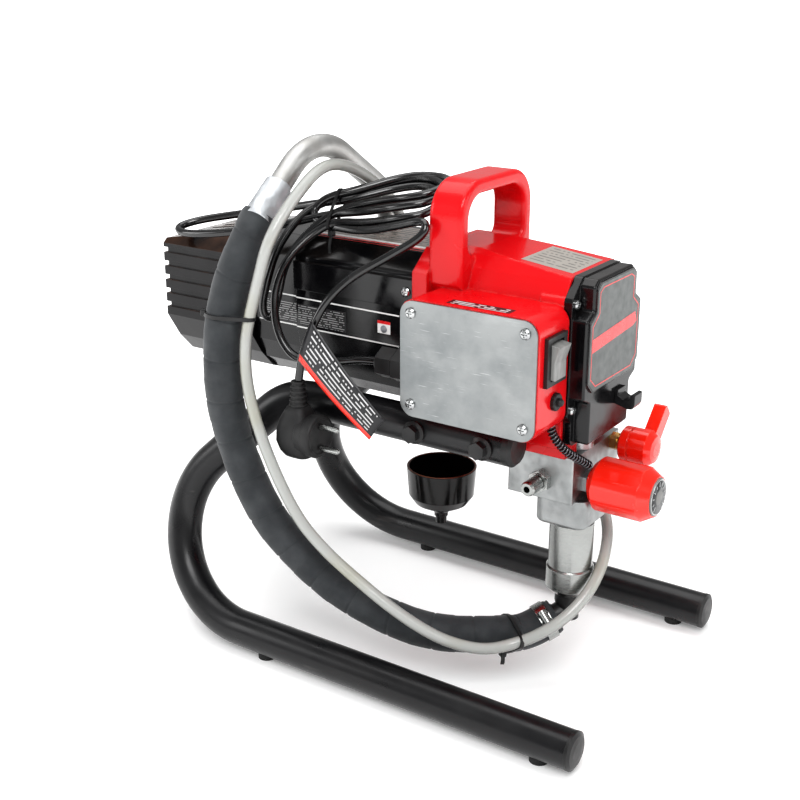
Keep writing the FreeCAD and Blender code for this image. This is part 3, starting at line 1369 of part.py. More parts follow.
def build():
    for side in (-1, 1):
        stand_tube(side)
    end_caps("lower_end_caps", size.run_front_x, size.run_y, size.run_z, size.tube_radius + 0.3, 5)
    end_caps("upper_end_caps", size.rail_front_x, size.rail_y, size.rail_z, size.tube_radius, 9)
    stand_feet()
    stand_bolts()
    drive_housing()
    front_cover()
    cover_screws()
    pail_hook()
    control_plate()
    plate_screws()
    switch()
    breaker()
    cable_gland()
    control_board()
    motor_shroud()
    fan_cover()
    shroud_screws()
    motor_front_plate()
    motor_can()
    field_magnets()
    armature()
    brush_sets()
    cooling_fan()
    bearings()
    cluster_gear()
    crank_gear()
    piston_yoke()
    piston_rod()
    packings()
    pump_manifold()
    pump_cylinder()
    inlet_housing()
    outlet_fitting()
    inlet_elbow()
    hose_clamp()
    pressure_control()
    prime_valve()
    drain_barb()
    sensor_cable()
    suction_set()
    return_hose()
    power_cord()
    plug()
    cord_tag()
    drip_cup()
    hose_ties()
    doc.recompute()


def write_parts():
    for obj in doc.Objects:
        if "Invalid" in obj.State or "Error" in obj.State:
            raise ValueError(f"{obj.Name}: {obj.State}")
    for obj in parts:
        if obj.Shape.isNull() or not obj.Shape.isValid() or not obj.Shape.Solids:
            raise ValueError(f"{obj.Label}: no valid solid")
    os.makedirs("parts", exist_ok=True)
    for obj in parts:
        obj.Shape.exportStep(os.path.join("parts", obj.Label + ".step"))


build()
write_parts()
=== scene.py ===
import json
import math

import bpy
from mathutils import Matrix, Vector, noise
from mathutils.bvhtree import BVHTree


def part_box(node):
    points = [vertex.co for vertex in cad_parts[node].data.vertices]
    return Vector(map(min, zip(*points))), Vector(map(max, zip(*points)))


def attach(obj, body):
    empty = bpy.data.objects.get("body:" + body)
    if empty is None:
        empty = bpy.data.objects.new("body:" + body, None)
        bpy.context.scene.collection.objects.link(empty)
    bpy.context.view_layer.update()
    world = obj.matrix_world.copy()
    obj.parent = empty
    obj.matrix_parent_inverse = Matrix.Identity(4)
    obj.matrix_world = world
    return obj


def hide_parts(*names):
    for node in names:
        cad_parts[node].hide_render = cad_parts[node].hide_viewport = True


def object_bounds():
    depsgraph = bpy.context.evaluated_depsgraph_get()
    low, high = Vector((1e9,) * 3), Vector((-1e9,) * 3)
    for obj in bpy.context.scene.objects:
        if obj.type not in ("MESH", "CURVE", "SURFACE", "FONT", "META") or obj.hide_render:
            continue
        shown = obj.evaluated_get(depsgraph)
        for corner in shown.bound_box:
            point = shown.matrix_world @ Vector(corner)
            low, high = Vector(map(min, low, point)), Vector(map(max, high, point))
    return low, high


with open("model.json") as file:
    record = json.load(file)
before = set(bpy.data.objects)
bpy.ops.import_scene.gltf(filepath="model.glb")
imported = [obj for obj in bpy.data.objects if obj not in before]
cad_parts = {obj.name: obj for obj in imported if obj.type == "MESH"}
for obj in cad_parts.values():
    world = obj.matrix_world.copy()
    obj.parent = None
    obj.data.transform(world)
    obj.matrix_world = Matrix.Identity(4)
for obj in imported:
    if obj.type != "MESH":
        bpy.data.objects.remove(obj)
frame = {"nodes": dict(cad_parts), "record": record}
cad_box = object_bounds()
nodes = frame["nodes"]

# ---------------------------------------------------------------- places and paths
# Places are in millimetres from the pump's axis at floor level, x to the front, z up.

MM = 0.001
cylinder_low, cylinder_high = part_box("pump_cylinder")
PUMP_AXIS = Vector(((cylinder_low.x + cylinder_high.x) / 2, (cylinder_low.y + cylinder_high.y) / 2, 0))


def at(x, y, z):
    return PUMP_AXIS + Vector((x, y, z)) * MM


def places(points):
    return [at(*point) for point in points]


def rounded(points, rounds=4):
    """Cut the corners of a run of points again and again, keeping both ends."""
    for _ in range(rounds):
        softer = [points[0]]
        for start, end in zip(points, points[1:]):
            softer.append(start.lerp(end, 0.25))
            softer.append(start.lerp(end, 0.75))
        points = softer + [points[-1]]
    return points


def even_steps(points, step):
    """The same run with points at equal distances, and each point's distance along it."""
    lengths = [0.0]
    for start, end in zip(points, points[1:]):
        lengths.append(lengths[-1] + (end - start).length)
    count = max(2, round(lengths[-1] / step))
    result, distances, segment = [], [], 0
    for index in range(count + 1):
        distance = lengths[-1] * index / count
        while segment < len(points) - 2 and lengths[segment + 1] < distance:
            segment += 1
        span = max(lengths[segment + 1] - lengths[segment], 1e-9)
        share = (distance - lengths[segment]) / span
        result.append(points[segment].lerp(points[segment + 1], min(max(share, 0), 1)))
        distances.append(distance)
    return result, distances


def travelling_frames(points):
    """For each point of a run, two directions across it that twist as little as possible."""
    frames, across = [], None
    for index in range(len(points)):
        ahead = points[min(index + 1, len(points) - 1)] - points[max(index - 1, 0)]
        ahead.normalize()
        if across is None:
            across = ahead.orthogonal().normalized()
        across = (across - ahead * across.dot(ahead)).normalized()
        frames.append((across.copy(), ahead.cross(across)))
    return frames


# ---------------------------------------------------------------- mesh building blocks

SQUARE = ((-1, -1), (1, -1), (1, 1), (-1, 1))


def new_piece(name, vertices, faces, material, body="frame", slot=None, smooth=True):
    mesh = bpy.data.meshes.new(name)
    mesh.from_pydata([tuple(vertex) for vertex in vertices], [], faces)
    mesh.update()
    piece = bpy.data.objects.new(name, mesh)
    bpy.context.scene.collection.objects.link(piece)
    mesh.materials.append(material)
    if smooth:
        mesh.shade_smooth()
    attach(piece, body)
    return piece


def ring_skin(rings, close_ends=True):
    """Faces that join rings of equal count, one after the other."""
    count = len(rings[0])
    vertices = [vertex for ring in rings for vertex in ring]
    faces = []
    for row in range(len(rings) - 1):
        for column in range(count):
            after = (column + 1) % count
            low, high = row * count, (row + 1) * count
            faces.append((low + column, low + after, high + after, high + column))
    if close_ends:
        faces.append(tuple(reversed(range(count))))
        last = (len(rings) - 1) * count
        faces.append(tuple(range(last, last + count)))
    return vertices, faces


def hose(name, points, radius, material, sides=20, step=0.003, bore=None, **extra):
    """A round hose. Its radius is a length, or a function of distance, angle and total length."""
    run, distances = even_steps(points, step)
    frames = travelling_frames(run)
    total = distances[-1]

    def ring(index, scale=1.0, fixed=None):
        across, up = frames[index]
        corners = []
        for side in range(sides):
            angle = 2 * math.pi * side / sides
            reach = fixed or (radius(distances[index], angle, total) if callable(radius) else radius)
            corners.append(run[index] + (across * math.cos(angle) + up * math.sin(angle)) * reach * scale)
        return corners

    rings = [ring(index) for index in range(len(run))]
    if bore:
        inner = [ring(index, fixed=bore) for index in reversed(range(len(run)))]
        vertices, faces = closed_skin(rings + inner)
    else:
        rim = 0.93
        rings = [ring(0, rim)] + rings + [ring(len(run) - 1, rim)]
        vertices, faces = ring_skin(rings)
    return new_piece(name, vertices, faces, material, **extra)


def lathe(name, profile, origin, axis, material, sides=48, **extra):
    """A turned piece: profile corners are (distance along the axis, radius), in millimetres."""
    axis = Vector(axis).normalized()
    across = axis.orthogonal().normalized()
    up = axis.cross(across)
    rings = []
    for along, reach in profile:
        ring = []
        for side in range(sides):
            angle = 2 * math.pi * side / sides
            out = across * math.cos(angle) + up * math.sin(angle)
            ring.append(origin + axis * along * MM + out * max(reach, 0.01) * MM)
        rings.append(ring)
    vertices, faces = ring_skin(rings)
    return new_piece(name, vertices, faces, material, **extra)


def soften(piece, width):
    """Round a piece's own sharp edges by a small width in millimetres."""
    bevel = piece.modifiers.new("edge_round", "BEVEL")
    bevel.width = width * MM
    bevel.segments = 2
    bevel.limit_method = "ANGLE"
    bevel.angle_limit = math.radians(35)
    return piece


def closed_skin(rings):
    """Faces that join rings in an endless loop, the last one to the first."""
    vertices, faces = ring_skin(rings, close_ends=False)
    count, last = len(rings[0]), (len(rings) - 1) * len(rings[0])
    for column in range(count):
        after = (column + 1) % count
        faces.append((last + column, last + after, after, column))
    return vertices, faces


def hoop(name, centre, axis, radius, thick, material, sides=64, **extra):
    """A round wire ring about an axis; radius and thickness in millimetres."""
    axis = Vector(axis).normalized()
    across = axis.orthogonal().normalized()
    up = axis.cross(across)
    rings = []
    for side in range(sides):
        angle = 2 * math.pi * side / sides
        out = across * math.cos(angle) + up * math.sin(angle)
        ring = []
        for step in range(8):
            turn = 2 * math.pi * step / 8
            reach = radius + thick * math.cos(turn)
            ring.append(centre + out * reach * MM + axis * thick * math.sin(turn) * MM)
        rings.append(ring)
    vertices, faces = closed_skin(rings)
    return new_piece(name, vertices, faces, material, **extra)


def block(name, centre, axes, half, material, round_by, **extra):
    """A softened box: centre, its three directions and its half sizes in millimetres."""
    directions = [Vector(axis).normalized() for axis in axes]
    vertices = []
    for z in (-1, 1):
        for x, y in SQUARE:
            corner = centre.copy()
            for sign, direction, reach in zip((x, y, z), directions, half):
                corner += direction * sign * reach * MM
            vertices.append(corner)
    faces = [(3, 2, 1, 0), (4, 5, 6, 7), (0, 1, 5, 4), (1, 2, 6, 5), (2, 3, 7, 6), (3, 0, 4, 7)]
    return soften(new_piece(name, vertices, faces, material, smooth=False, **extra), round_by)


def outline_plate(name, corners, normal, thickness, material, **extra):
    """A flat plate: its outline, pushed along its normal by the thickness."""
    push = Vector(normal).normalized() * thickness * MM
    count = len(corners)
    vertices = list(corners) + [corner + push for corner in corners]
    faces = [tuple(reversed(range(count))), tuple(range(count, 2 * count))]
    for index in range(count):
        after = (index + 1) % count
        faces.append((index, after, count + after, count + index))
    return new_piece(name, vertices, faces, material, smooth=False, **extra)


def stripe(name, points, width, normal, thickness, material, **extra):
    """A flat closed line of a given width that follows an outline in a plane."""
    normal = Vector(normal).normalized()
    count = len(points)
    rings = []
    for index, point in enumerate(points):
        back = (point - points[index - 1]).normalized()
        ahead = (points[(index + 1) % count] - point).normalized()
        along = (back + ahead).normalized()
        side = normal.cross(along) * (width / 2 * MM / max(along.dot(ahead), 0.4))
        push = normal * thickness * MM
        rings.append([point - side, point + side, point + side + push, point - side + push])
    vertices, faces = closed_skin(rings)
    return new_piece(name, vertices, faces, material, smooth=False, **extra)


def surface_finder(node):
    """Rays against a CAD node's own mesh, for laying labels on it."""
    mesh = nodes[node].data
    mesh.calc_loop_triangles()
    vertices = [vertex.co.copy() for vertex in mesh.vertices]
    return BVHTree.FromPolygons(vertices, [tuple(t.vertices) for t in mesh.loop_triangles])


finders = {}


def land(node, place, direction):
    """Where a ray from a place meets a CAD node, or the place itself if it misses."""
    if node not in finders:
        finders[node] = surface_finder(node)
    hit = finders[node].ray_cast(place, Vector(direction))[0]
    return hit if hit else place


def grid_faces(columns, rows):
    """Faces that join a grid of points, row after row."""
    faces = []
    for row in range(rows):
        for column in range(columns):
            first = row * (columns + 1) + column
            faces.append((first, first + 1, first + columns + 2, first + columns + 1))
    return faces


def map_grid(piece, columns, rows):
    """A UV map that runs from corner to corner of a grid piece."""
    layer = piece.data.uv_layers.new(name="UVMap")
    for loop in piece.data.loops:
        row, column = divmod(loop.vertex_index, columns + 1)
        layer.data[loop.index].uv = (column / columns, row / rows)


LABEL_STEP = 3
LABEL_THICKNESS = 0.12


def label(name, node, low_corner, size, material, up=(0, 0, 1), direction=(0, 1, 0), rows=6):
    """A thin sheet laid on a CAD node along a direction, from a corner that stands off the node."""
    corner, along, up, direction = at(*low_corner), Vector((1, 0, 0)), Vector(up), Vector(direction)
    columns = max(2, int(size[0] / LABEL_STEP))
    grid = []
    for row in range(rows + 1):
        for column in range(columns + 1):
            place = corner + along * size[0] * MM * column / columns + up * size[1] * MM * row / rows
            grid.append(land(node, place, direction) - direction * LABEL_THICKNESS * MM)
    piece = new_piece(name, grid, grid_faces(columns, rows), material, smooth=False)
    map_grid(piece, columns, rows)
    thick = piece.modifiers.new("film", "SOLIDIFY")
    thick.thickness = LABEL_THICKNESS * MM
    thick.offset = -1
    return piece


# ---------------------------------------------------------------- shading building blocks

class Look:
    """A node material: a Principled shader, with short ways to add detail to it."""

    def __init__(self, name, colour, roughness, metallic=0.0, **inputs):
        self.material = bpy.data.materials.new(name)
        self.material.use_nodes = True
        self.tree = self.material.node_tree
        self.shader = self.tree.nodes["Principled BSDF"]
        self.shader.inputs["Base Color"].default_value = (*colour, 1)
        self.shader.inputs["Roughness"].default_value = roughness
        self.shader.inputs["Metallic"].default_value = metallic
        for key, value in inputs.items():
            self.shader.inputs[key.replace("_", " ")].default_value = value
        self.colour = None
        self.plain_colour = colour
        self.bevel = None

    def node(self, kind, **settings):
        made = self.tree.nodes.new("ShaderNode" + kind)
        for key, value in settings.items():
            setattr(made, key, value)
        return made

    def link(self, source, target):
        self.tree.links.new(source, target)

    def position(self, stretch=(1, 1, 1), turn=0.0):
        mapping = self.node("Mapping")
        mapping.inputs["Rotation"].default_value = (0, math.radians(turn), 0)
        mapping.inputs["Scale"].default_value = stretch
        self.link(self.node("TexCoord").outputs["Object"], mapping.inputs["Vector"])
        return mapping.outputs["Vector"]

    def noise(self, scale, detail=3.0, stretch=(1, 1, 1), roughness=0.5, turn=0.0):
        made = self.node("TexNoise")
        made.inputs["Scale"].default_value = scale
        made.inputs["Detail"].default_value = detail
        made.inputs["Roughness"].default_value = roughness
        self.link(self.position(stretch, turn), made.inputs["Vector"])
        return made.outputs[0]

    def cells(self, scale, feature="F1"):
        made = self.node("TexVoronoi", feature=feature)
        made.inputs["Scale"].default_value = scale
        self.link(self.position(), made.inputs["Vector"])
        return made.outputs["Distance"]

    def stretch_range(self, socket, low, high, to_low=0.0, to_high=1.0):
        made = self.node("MapRange")
        for key, value in (("From Min", low), ("From Max", high), ("To Min", to_low), ("To Max", to_high)):
            made.inputs[key].default_value = value
        self.link(socket, made.inputs["Value"])
        return made.outputs["Result"]

    def maths(self, operation, first, second=None):
        made = self.node("Math", operation=operation)
        for socket, value in zip(made.inputs, (first, second)):
            if isinstance(value, (int, float)):
                socket.default_value = value
            elif value is not None:
                self.link(value, socket)
        return made.outputs[0]

    def tint(self, mask, colour):
        """Mix another colour in wherever the mask is high."""
        mix = self.node("Mix", data_type="RGBA")
        if self.colour is None:
            mix.inputs[6].default_value = (*self.plain_colour, 1)
        else:
            self.link(self.colour, mix.inputs[6])
        mix.inputs[7].default_value = (*colour, 1)
        self.link(mask, mix.inputs[0])
        self.colour = mix.outputs[2]
        self.link(self.colour, self.shader.inputs["Base Color"])
        return self

    def roughen(self, socket, low, high):
        self.link(self.stretch_range(socket, 0.3, 0.7, low, high), self.shader.inputs["Roughness"])
        return self

    def bump(self, socket, distance, strength=1.0):
        """Raise the surface by up to a distance in millimetres."""
        made = self.node("Bump")
        made.inputs["Distance"].default_value = distance * MM
        made.inputs["Strength"].default_value = strength
        self.link(socket, made.inputs["Height"])
        before = self.shader.inputs["Normal"].links
        if before:
            self.link(before[0].from_socket, made.inputs["Normal"])
        self.link(made.outputs["Normal"], self.shader.inputs["Normal"])
        return self

    def grain(self, pattern, distance):
        """Raise the surface in a noise pattern, given as (scale, detail, stretch)."""
        return self.bump(self.noise(*pattern), distance)

    def mottle(self, pattern, low, high, amount, colour):
        """Mix another colour in where a noise pattern runs between two levels."""
        return self.tint(self.stretch_range(self.noise(*pattern), low, high, 0, amount), colour)

    def uneven_gloss(self, pattern, low, high):
        return self.roughen(self.noise(*pattern), low, high)

    def round_edges(self, radius):
        """Light catches every sharp edge as if it were rounded by a radius in millimetres."""
        made = self.node("Bevel", samples=4)
        made.inputs["Radius"].default_value = radius * MM
        self.bevel = made.outputs["Normal"]
        self.link(self.bevel, self.shader.inputs["Normal"])
        return self

    def worn_edges(self, colour, sharpness=0.35):
        """Show another colour where the rounded edge turns away from the flat face."""
        facing = self.node("VectorMath", operation="DOT_PRODUCT")
        self.link(self.bevel, facing.inputs[0])
        self.link(self.node("NewGeometry").outputs["Normal"], facing.inputs[1])
        edge = self.stretch_range(facing.outputs["Value"], 0.995, 0.93)
        patches = self.stretch_range(self.noise(160, 4), 0.45, 0.65)
        mask = self.maths("MULTIPLY", self.maths("MULTIPLY", edge, patches), sharpness)
        return self.tint(mask, colour)

    def dust_and_top_reflection(self, colour, amount=0.25):
        """An uneven tint on the faces that look upwards: dust on most finishes, a painted warm reflection on
        the rear cover and the cup.
        """
        parts = self.node("SeparateXYZ")
        self.link(self.node("NewGeometry").outputs["Normal"], parts.inputs[0])
        upward = self.stretch_range(parts.outputs["Z"], 0.3, 1.0)
        patches = self.stretch_range(self.noise(35, 5), 0.35, 0.75)
        mask = self.maths("MULTIPLY", self.maths("MULTIPLY", upward, patches), amount)
        return self.tint(mask, colour)


def red_paint():
    """Gloss red enamel over a casting: faint orange peel, slightly uneven depth of colour."""
    look = Look("red_paint", (0.60, 0.004, 0.008), 0.3, Specular_IOR_Level=0.22, Coat_Weight=0.22,
                Coat_Roughness=0.05)
    look.round_edges(2.6)
    look.grain((420, 2), 0.05)
    look.grain((60, 3), 0.12)
    look.mottle((14, 3), 0.4, 0.8, 0.5, (0.5, 0.003, 0.007))
    look.worn_edges((0.85, 0.10, 0.09), 0.4)
    look.dust_and_top_reflection((0.70, 0.16, 0.13), 0.05)
    look.uneven_gloss((25, 4), 0.16, 0.3)
    return look.material


def black_paint():
    """Semi-gloss black powder coat on tube, with fine grain and light scuffs."""
    look = Look("black_tube_paint", (0.0045, 0.0045, 0.0055), 0.3, Specular_IOR_Level=0.4, Coat_Weight=0.12,
                Coat_Roughness=0.2)
    look.grain((900, 2), 0.035)
    look.mottle((18, 5), 0.5, 0.85, 0.5, (0.014, 0.013, 0.013))
    scuffs = look.stretch_range(look.noise(70, 6, (0.15, 1, 1)), 0.66, 0.74, 0, 0.35)
    look.tint(scuffs, (0.09, 0.08, 0.075))
    look.uneven_gloss((30, 4), 0.24, 0.44)
    return look.material


def gloss_black(name="black_gloss_plastic", colour=(0.0035, 0.0035, 0.0042), shine=0.42,
                dust_and_top_reflection=((0.06, 0.045, 0.035), 0.25)):
    """Polished injection-moulded plastic with faint ripples and hairline scratches, and a tint on the upward
    faces: dust by default, a painted warm reflection on the rear cover and the cup.
    """
    look = Look(name, colour, 0.14, Specular_IOR_Level=shine)
    look.round_edges(0.9)
    look.grain((45, 2), 0.12)
    look.grain((700, 2), 0.012)
    specks = look.stretch_range(look.cells(330), 0.06, 0.0, 0, 0.6)
    where = look.stretch_range(look.noise(22, 2), 0.5, 0.6)
    look.tint(look.maths("MULTIPLY", specks, where), (0.22, 0.2, 0.19))
    look.dust_and_top_reflection(*dust_and_top_reflection)
    look.uneven_gloss((40, 5), 0.08, 0.26)
    return look.material


def satin_black(name="black_satin_plastic", colour=(0.006, 0.006, 0.0065)):
    """Moulded nylon with a fine grain."""
    look = Look(name, colour, 0.42)
    look.round_edges(0.5)
    look.grain((1100, 2), 0.03)
    look.mottle((40, 4), 0.45, 0.8, 0.5, (0.018, 0.017, 0.0165))
    look.uneven_gloss((60, 4), 0.3, 0.55)
    return look.material


def brushed(name, colour, roughness, grain=(1, 1, 60), stain=(0.35, 0.34, 0.33), edge=0.5):
    """Bare metal with a one-way grain, stains and bright edges."""
    look = Look(name, colour, roughness, 1.0, Anisotropic=0.4)
    look.round_edges(edge)
    look.grain((55, 4, grain), 0.035)
    look.mottle((26, 6), 0.45, 0.78, 0.5, stain)
    look.mottle((300, 3, grain), 0.5, 0.9, 0.35, (0.95, 0.95, 0.96))
    look.uneven_gloss((90, 5, grain), roughness * 0.75, roughness * 1.3)
    return look.material


def scuffed_sheet():
    """Rolled aluminium sheet: cloudy satin, with short scratches both ways and a few dents."""
    look = Look("sheet_aluminium", (0.29, 0.30, 0.30), 0.42, 1.0)
    look.round_edges(0.6)
    clouds = look.noise(17, 7, roughness=0.62)
    look.tint(look.stretch_range(clouds, 0.40, 0.66, 0, 0.8), (0.22, 0.235, 0.24))
    smears = look.stretch_range(look.noise(48, 5, (0.5, 1, 1)), 0.52, 0.7, 0, 0.55)
    look.tint(smears, (0.36, 0.37, 0.37))
    for scale, turn, gate in ((900, 24, 31), (1100, -38, 26), (800, 71, 38)):
        lines = look.stretch_range(look.noise(scale, 2, (0.05, 1, 1), turn=turn), 0.66, 0.74, 0, 0.5)
        where = look.stretch_range(look.noise(gate, 2), 0.5, 0.6)
        look.tint(look.maths("MULTIPLY", lines, where), (0.62, 0.63, 0.63))
    look.bump(look.stretch_range(look.cells(120), 0.05, 0.0), 0.1)
    look.roughen(clouds, 0.30, 0.55)
    return look.material


def cast_metal():
    """Bead-blasted cast aluminium with machined sheen and soft pits."""
    look = Look("cast_aluminium", (0.36, 0.37, 0.37), 0.42, 1.0)
    look.round_edges(0.8)
    look.grain((500, 4), 0.08)
    look.grain((90, 3), 0.1)
    look.mottle((30, 6), 0.42, 0.75, 0.8, (0.24, 0.25, 0.25))
    look.uneven_gloss((120, 4), 0.32, 0.55)
    return look.material


def dull_tube():
    """Drawn aluminium tube, matte, with long draw marks and handling stains."""
    look = Look("bent_tube_aluminium", (0.50, 0.50, 0.49), 0.52, 0.9)
    look.grain((600, 3), 0.03)
    look.mottle((30, 6), 0.4, 0.72, 0.75, (0.33, 0.32, 0.305))
    look.tint(look.stretch_range(look.cells(200), 0.07, 0.0, 0, 0.7), (0.24, 0.22, 0.2))
    look.uneven_gloss((70, 5), 0.34, 0.6)
    return look.material


def polished():
    look = Look("chrome", (0.50, 0.51, 0.51), 0.17, 1.0)
    look.round_edges(0.25)
    look.grain((500, 2), 0.01)
    look.mottle((160, 4), 0.5, 0.75, 0.7, (0.3, 0.3, 0.31))
    look.uneven_gloss((200, 3), 0.08, 0.24)
    return look.material


def brass():
    look = Look("brass", (0.62, 0.42, 0.16), 0.28, 1.0)
    look.round_edges(0.3)
    look.grain((400, 2, (1, 1, 8)), 0.02)
    look.mottle((90, 5), 0.5, 0.8, 0.8, (0.22, 0.12, 0.05))
    look.uneven_gloss((120, 4), 0.2, 0.45)
    return look.material


def orange_red():
    """Warm red moulded plastic with soft gloss and faint flow lines."""
    look = Look("orange_red_plastic", (0.74, 0.014, 0.005), 0.28, Subsurface_Weight=0.04, Coat_Weight=0.3)
    look.shader.inputs["Subsurface Radius"].default_value = (0.004, 0.001, 0.0006)
    look.round_edges(0.9)
    look.grain((50, 3), 0.08)
    look.grain((650, 2), 0.015)
    look.mottle((28, 4, (0.3, 1, 1)), 0.45, 0.8, 0.45, (0.8, 0.035, 0.012))
    look.worn_edges((0.9, 0.2, 0.12), 0.5)
    look.uneven_gloss((60, 4), 0.14, 0.28)
    return look.material


def grey_plastic():
    look = Look("grey_plastic", (0.17, 0.17, 0.165), 0.36)
    look.round_edges(0.5)
    look.grain((800, 2), 0.03)
    look.mottle((90, 4, (1, 1, 0.3)), 0.45, 0.75, 0.7, (0.34, 0.34, 0.33))
    look.uneven_gloss((80, 4), 0.26, 0.5)
    return look.material


def foam_wrap():
    """Closed-cell foam tape: charcoal, matte, fine pores, rubbed paler here and there."""
    look = Look("foam_wrap", (0.021, 0.024, 0.027), 0.8, Sheen_Weight=0.15, Sheen_Roughness=0.5)
    look.bump(look.cells(1500), 0.06)
    look.grain((260, 4), 0.12)
    look.mottle((45, 5), 0.42, 0.75, 0.8, (0.042, 0.046, 0.05))
    look.tint(look.stretch_range(look.cells(520), 0.07, 0.0, 0, 0.5), (0.09, 0.09, 0.09))
    look.uneven_gloss((60, 4), 0.62, 0.88)
    return look.material


def foil():
    """Crumpled foil tape, soft and bright with darker folds."""
    look = Look("foil", (0.56, 0.58, 0.60), 0.5, 0.85)
    look.bump(look.cells(170, feature="SMOOTH_F1"), 0.35)
    look.grain((220, 5), 0.18)
    look.mottle((120, 5), 0.45, 0.75, 0.6, (0.45, 0.46, 0.48))
    look.uneven_gloss((90, 4), 0.42, 0.62)
    return look.material


def clear_tube():
    """Clear PVC hose: greyish wall with a little yellow. By the viewing angle, a painted shade band stands
    for the bore seen through it, and painted bright edges stand for light along its sides.
    """
    look = Look("clear_hose", (0.52, 0.53, 0.51), 0.12, Transmission_Weight=0.3, IOR=1.2, Coat_Weight=0.6)
    look.grain((40, 2), 0.05)
    edge = look.node("LayerWeight")
    edge.inputs["Blend"].default_value = 0.5
    # Painted shade: darker where the wall turns from the view, standing for the bore seen through it.
    rim = look.stretch_range(edge.outputs["Facing"], 0.25, 0.6, 0, 0.75)
    look.tint(rim, (0.27, 0.27, 0.25))
    # Painted highlight: paler at the grazing edges, standing for light caught along the sides.
    look.tint(look.stretch_range(edge.outputs["Facing"], 0.72, 0.9, 0, 0.7), (0.62, 0.62, 0.60))
    look.mottle((16, 2), 0.52, 0.72, 0.4, (0.42, 0.40, 0.24))
    look.uneven_gloss((50, 3), 0.08, 0.2)
    return look.material


def cord_rubber():
    look = Look("cord_rubber", (0.0035, 0.0035, 0.004), 0.18, Specular_IOR_Level=0.75)
    look.grain((90, 3), 0.08)
    look.grain((1200, 2), 0.02)
    look.mottle((60, 4), 0.5, 0.8, 0.5, (0.015, 0.014, 0.013))
    look.uneven_gloss((40, 4), 0.12, 0.3)
    return look.material


def matte_rubber():
    look = Look("black_rubber", (0.007, 0.007, 0.0075), 0.6)
    look.round_edges(0.8)
    look.grain((900, 3), 0.05)
    look.mottle((50, 4), 0.45, 0.8, 0.6, (0.02, 0.019, 0.018))
    look.uneven_gloss((60, 4), 0.48, 0.72)
    return look.material


def stacked_steel():
    look = Look("laminated_steel", (0.30, 0.27, 0.25), 0.4, 1.0)
    look.grain((30, 1, (60, 0.2, 0.2)), 0.1)
    look.tint(look.stretch_range(look.noise(50, 5), 0.4, 0.7), (0.42, 0.22, 0.1))
    return look.material


def simple_grain(name, colour, other, roughness):
    """Two-tone grained finish for the pieces inside the machine."""
    look = Look(name, colour, roughness)
    look.round_edges(0.4)
    look.grain((400, 3), 0.05)
    look.tint(look.stretch_range(look.noise(70, 5), 0.4, 0.75), other)
    look.uneven_gloss((90, 4), roughness * 0.8, min(1.0, roughness * 1.25))
    return look.material


def printed(name, colour, ink, line_count, column_count, fill, margin, roughness=0.35):
    """A label printed with rows of short bars that stand for its small print."""
    look = Look(name, colour, roughness)
    parts = look.node("SeparateXYZ")
    look.link(look.node("TexCoord").outputs["UV"], parts.inputs[0])
    across, up = parts.outputs["X"], parts.outputs["Y"]
    row = look.maths("MULTIPLY", up, line_count)
    in_row = look.maths("LESS_THAN", look.maths("FRACT", row), fill)
    words = look.node("TexWhiteNoise", noise_dimensions="2D")
    cell = look.node("CombineXYZ")
    look.link(look.maths("FLOOR", look.maths("MULTIPLY", across, column_count)), cell.inputs[0])
    look.link(look.maths("FLOOR", row), cell.inputs[1])
    look.link(cell.outputs[0], words.inputs["Vector"])
    word = look.maths("GREATER_THAN", words.outputs["Value"], 0.24)
    inside = look.maths("GREATER_THAN", across, margin)
    for value, limit, side in ((across, 1 - margin, "LESS_THAN"), (up, margin, "GREATER_THAN"),
                               (up, 1 - margin, "LESS_THAN")):
        inside = look.maths("MULTIPLY", inside, look.maths(side, value, limit))
    mask = look.maths("MULTIPLY", look.maths("MULTIPLY", in_row, word), inside)
    look.tint(look.maths("MULTIPLY", mask, 0.85), ink)
    look.grain((500, 2), 0.02)
    look.uneven_gloss((80, 3), roughness * 0.8, roughness * 1.3)
    return look.material


def film(name, colour, roughness=0.3):
    """Plain printed film: one ink with a soft unevenness."""
    look = Look(name, colour, roughness, Coat_Weight=0.2)
    paler = tuple(min(1.0, channel * 1.25 + 0.01) for channel in colour)
    look.mottle((90, 4), 0.45, 0.8, 0.6, paler)
    look.grain((600, 2), 0.015)
    look.uneven_gloss((120, 3), roughness * 0.8, roughness * 1.3)
    return look.material


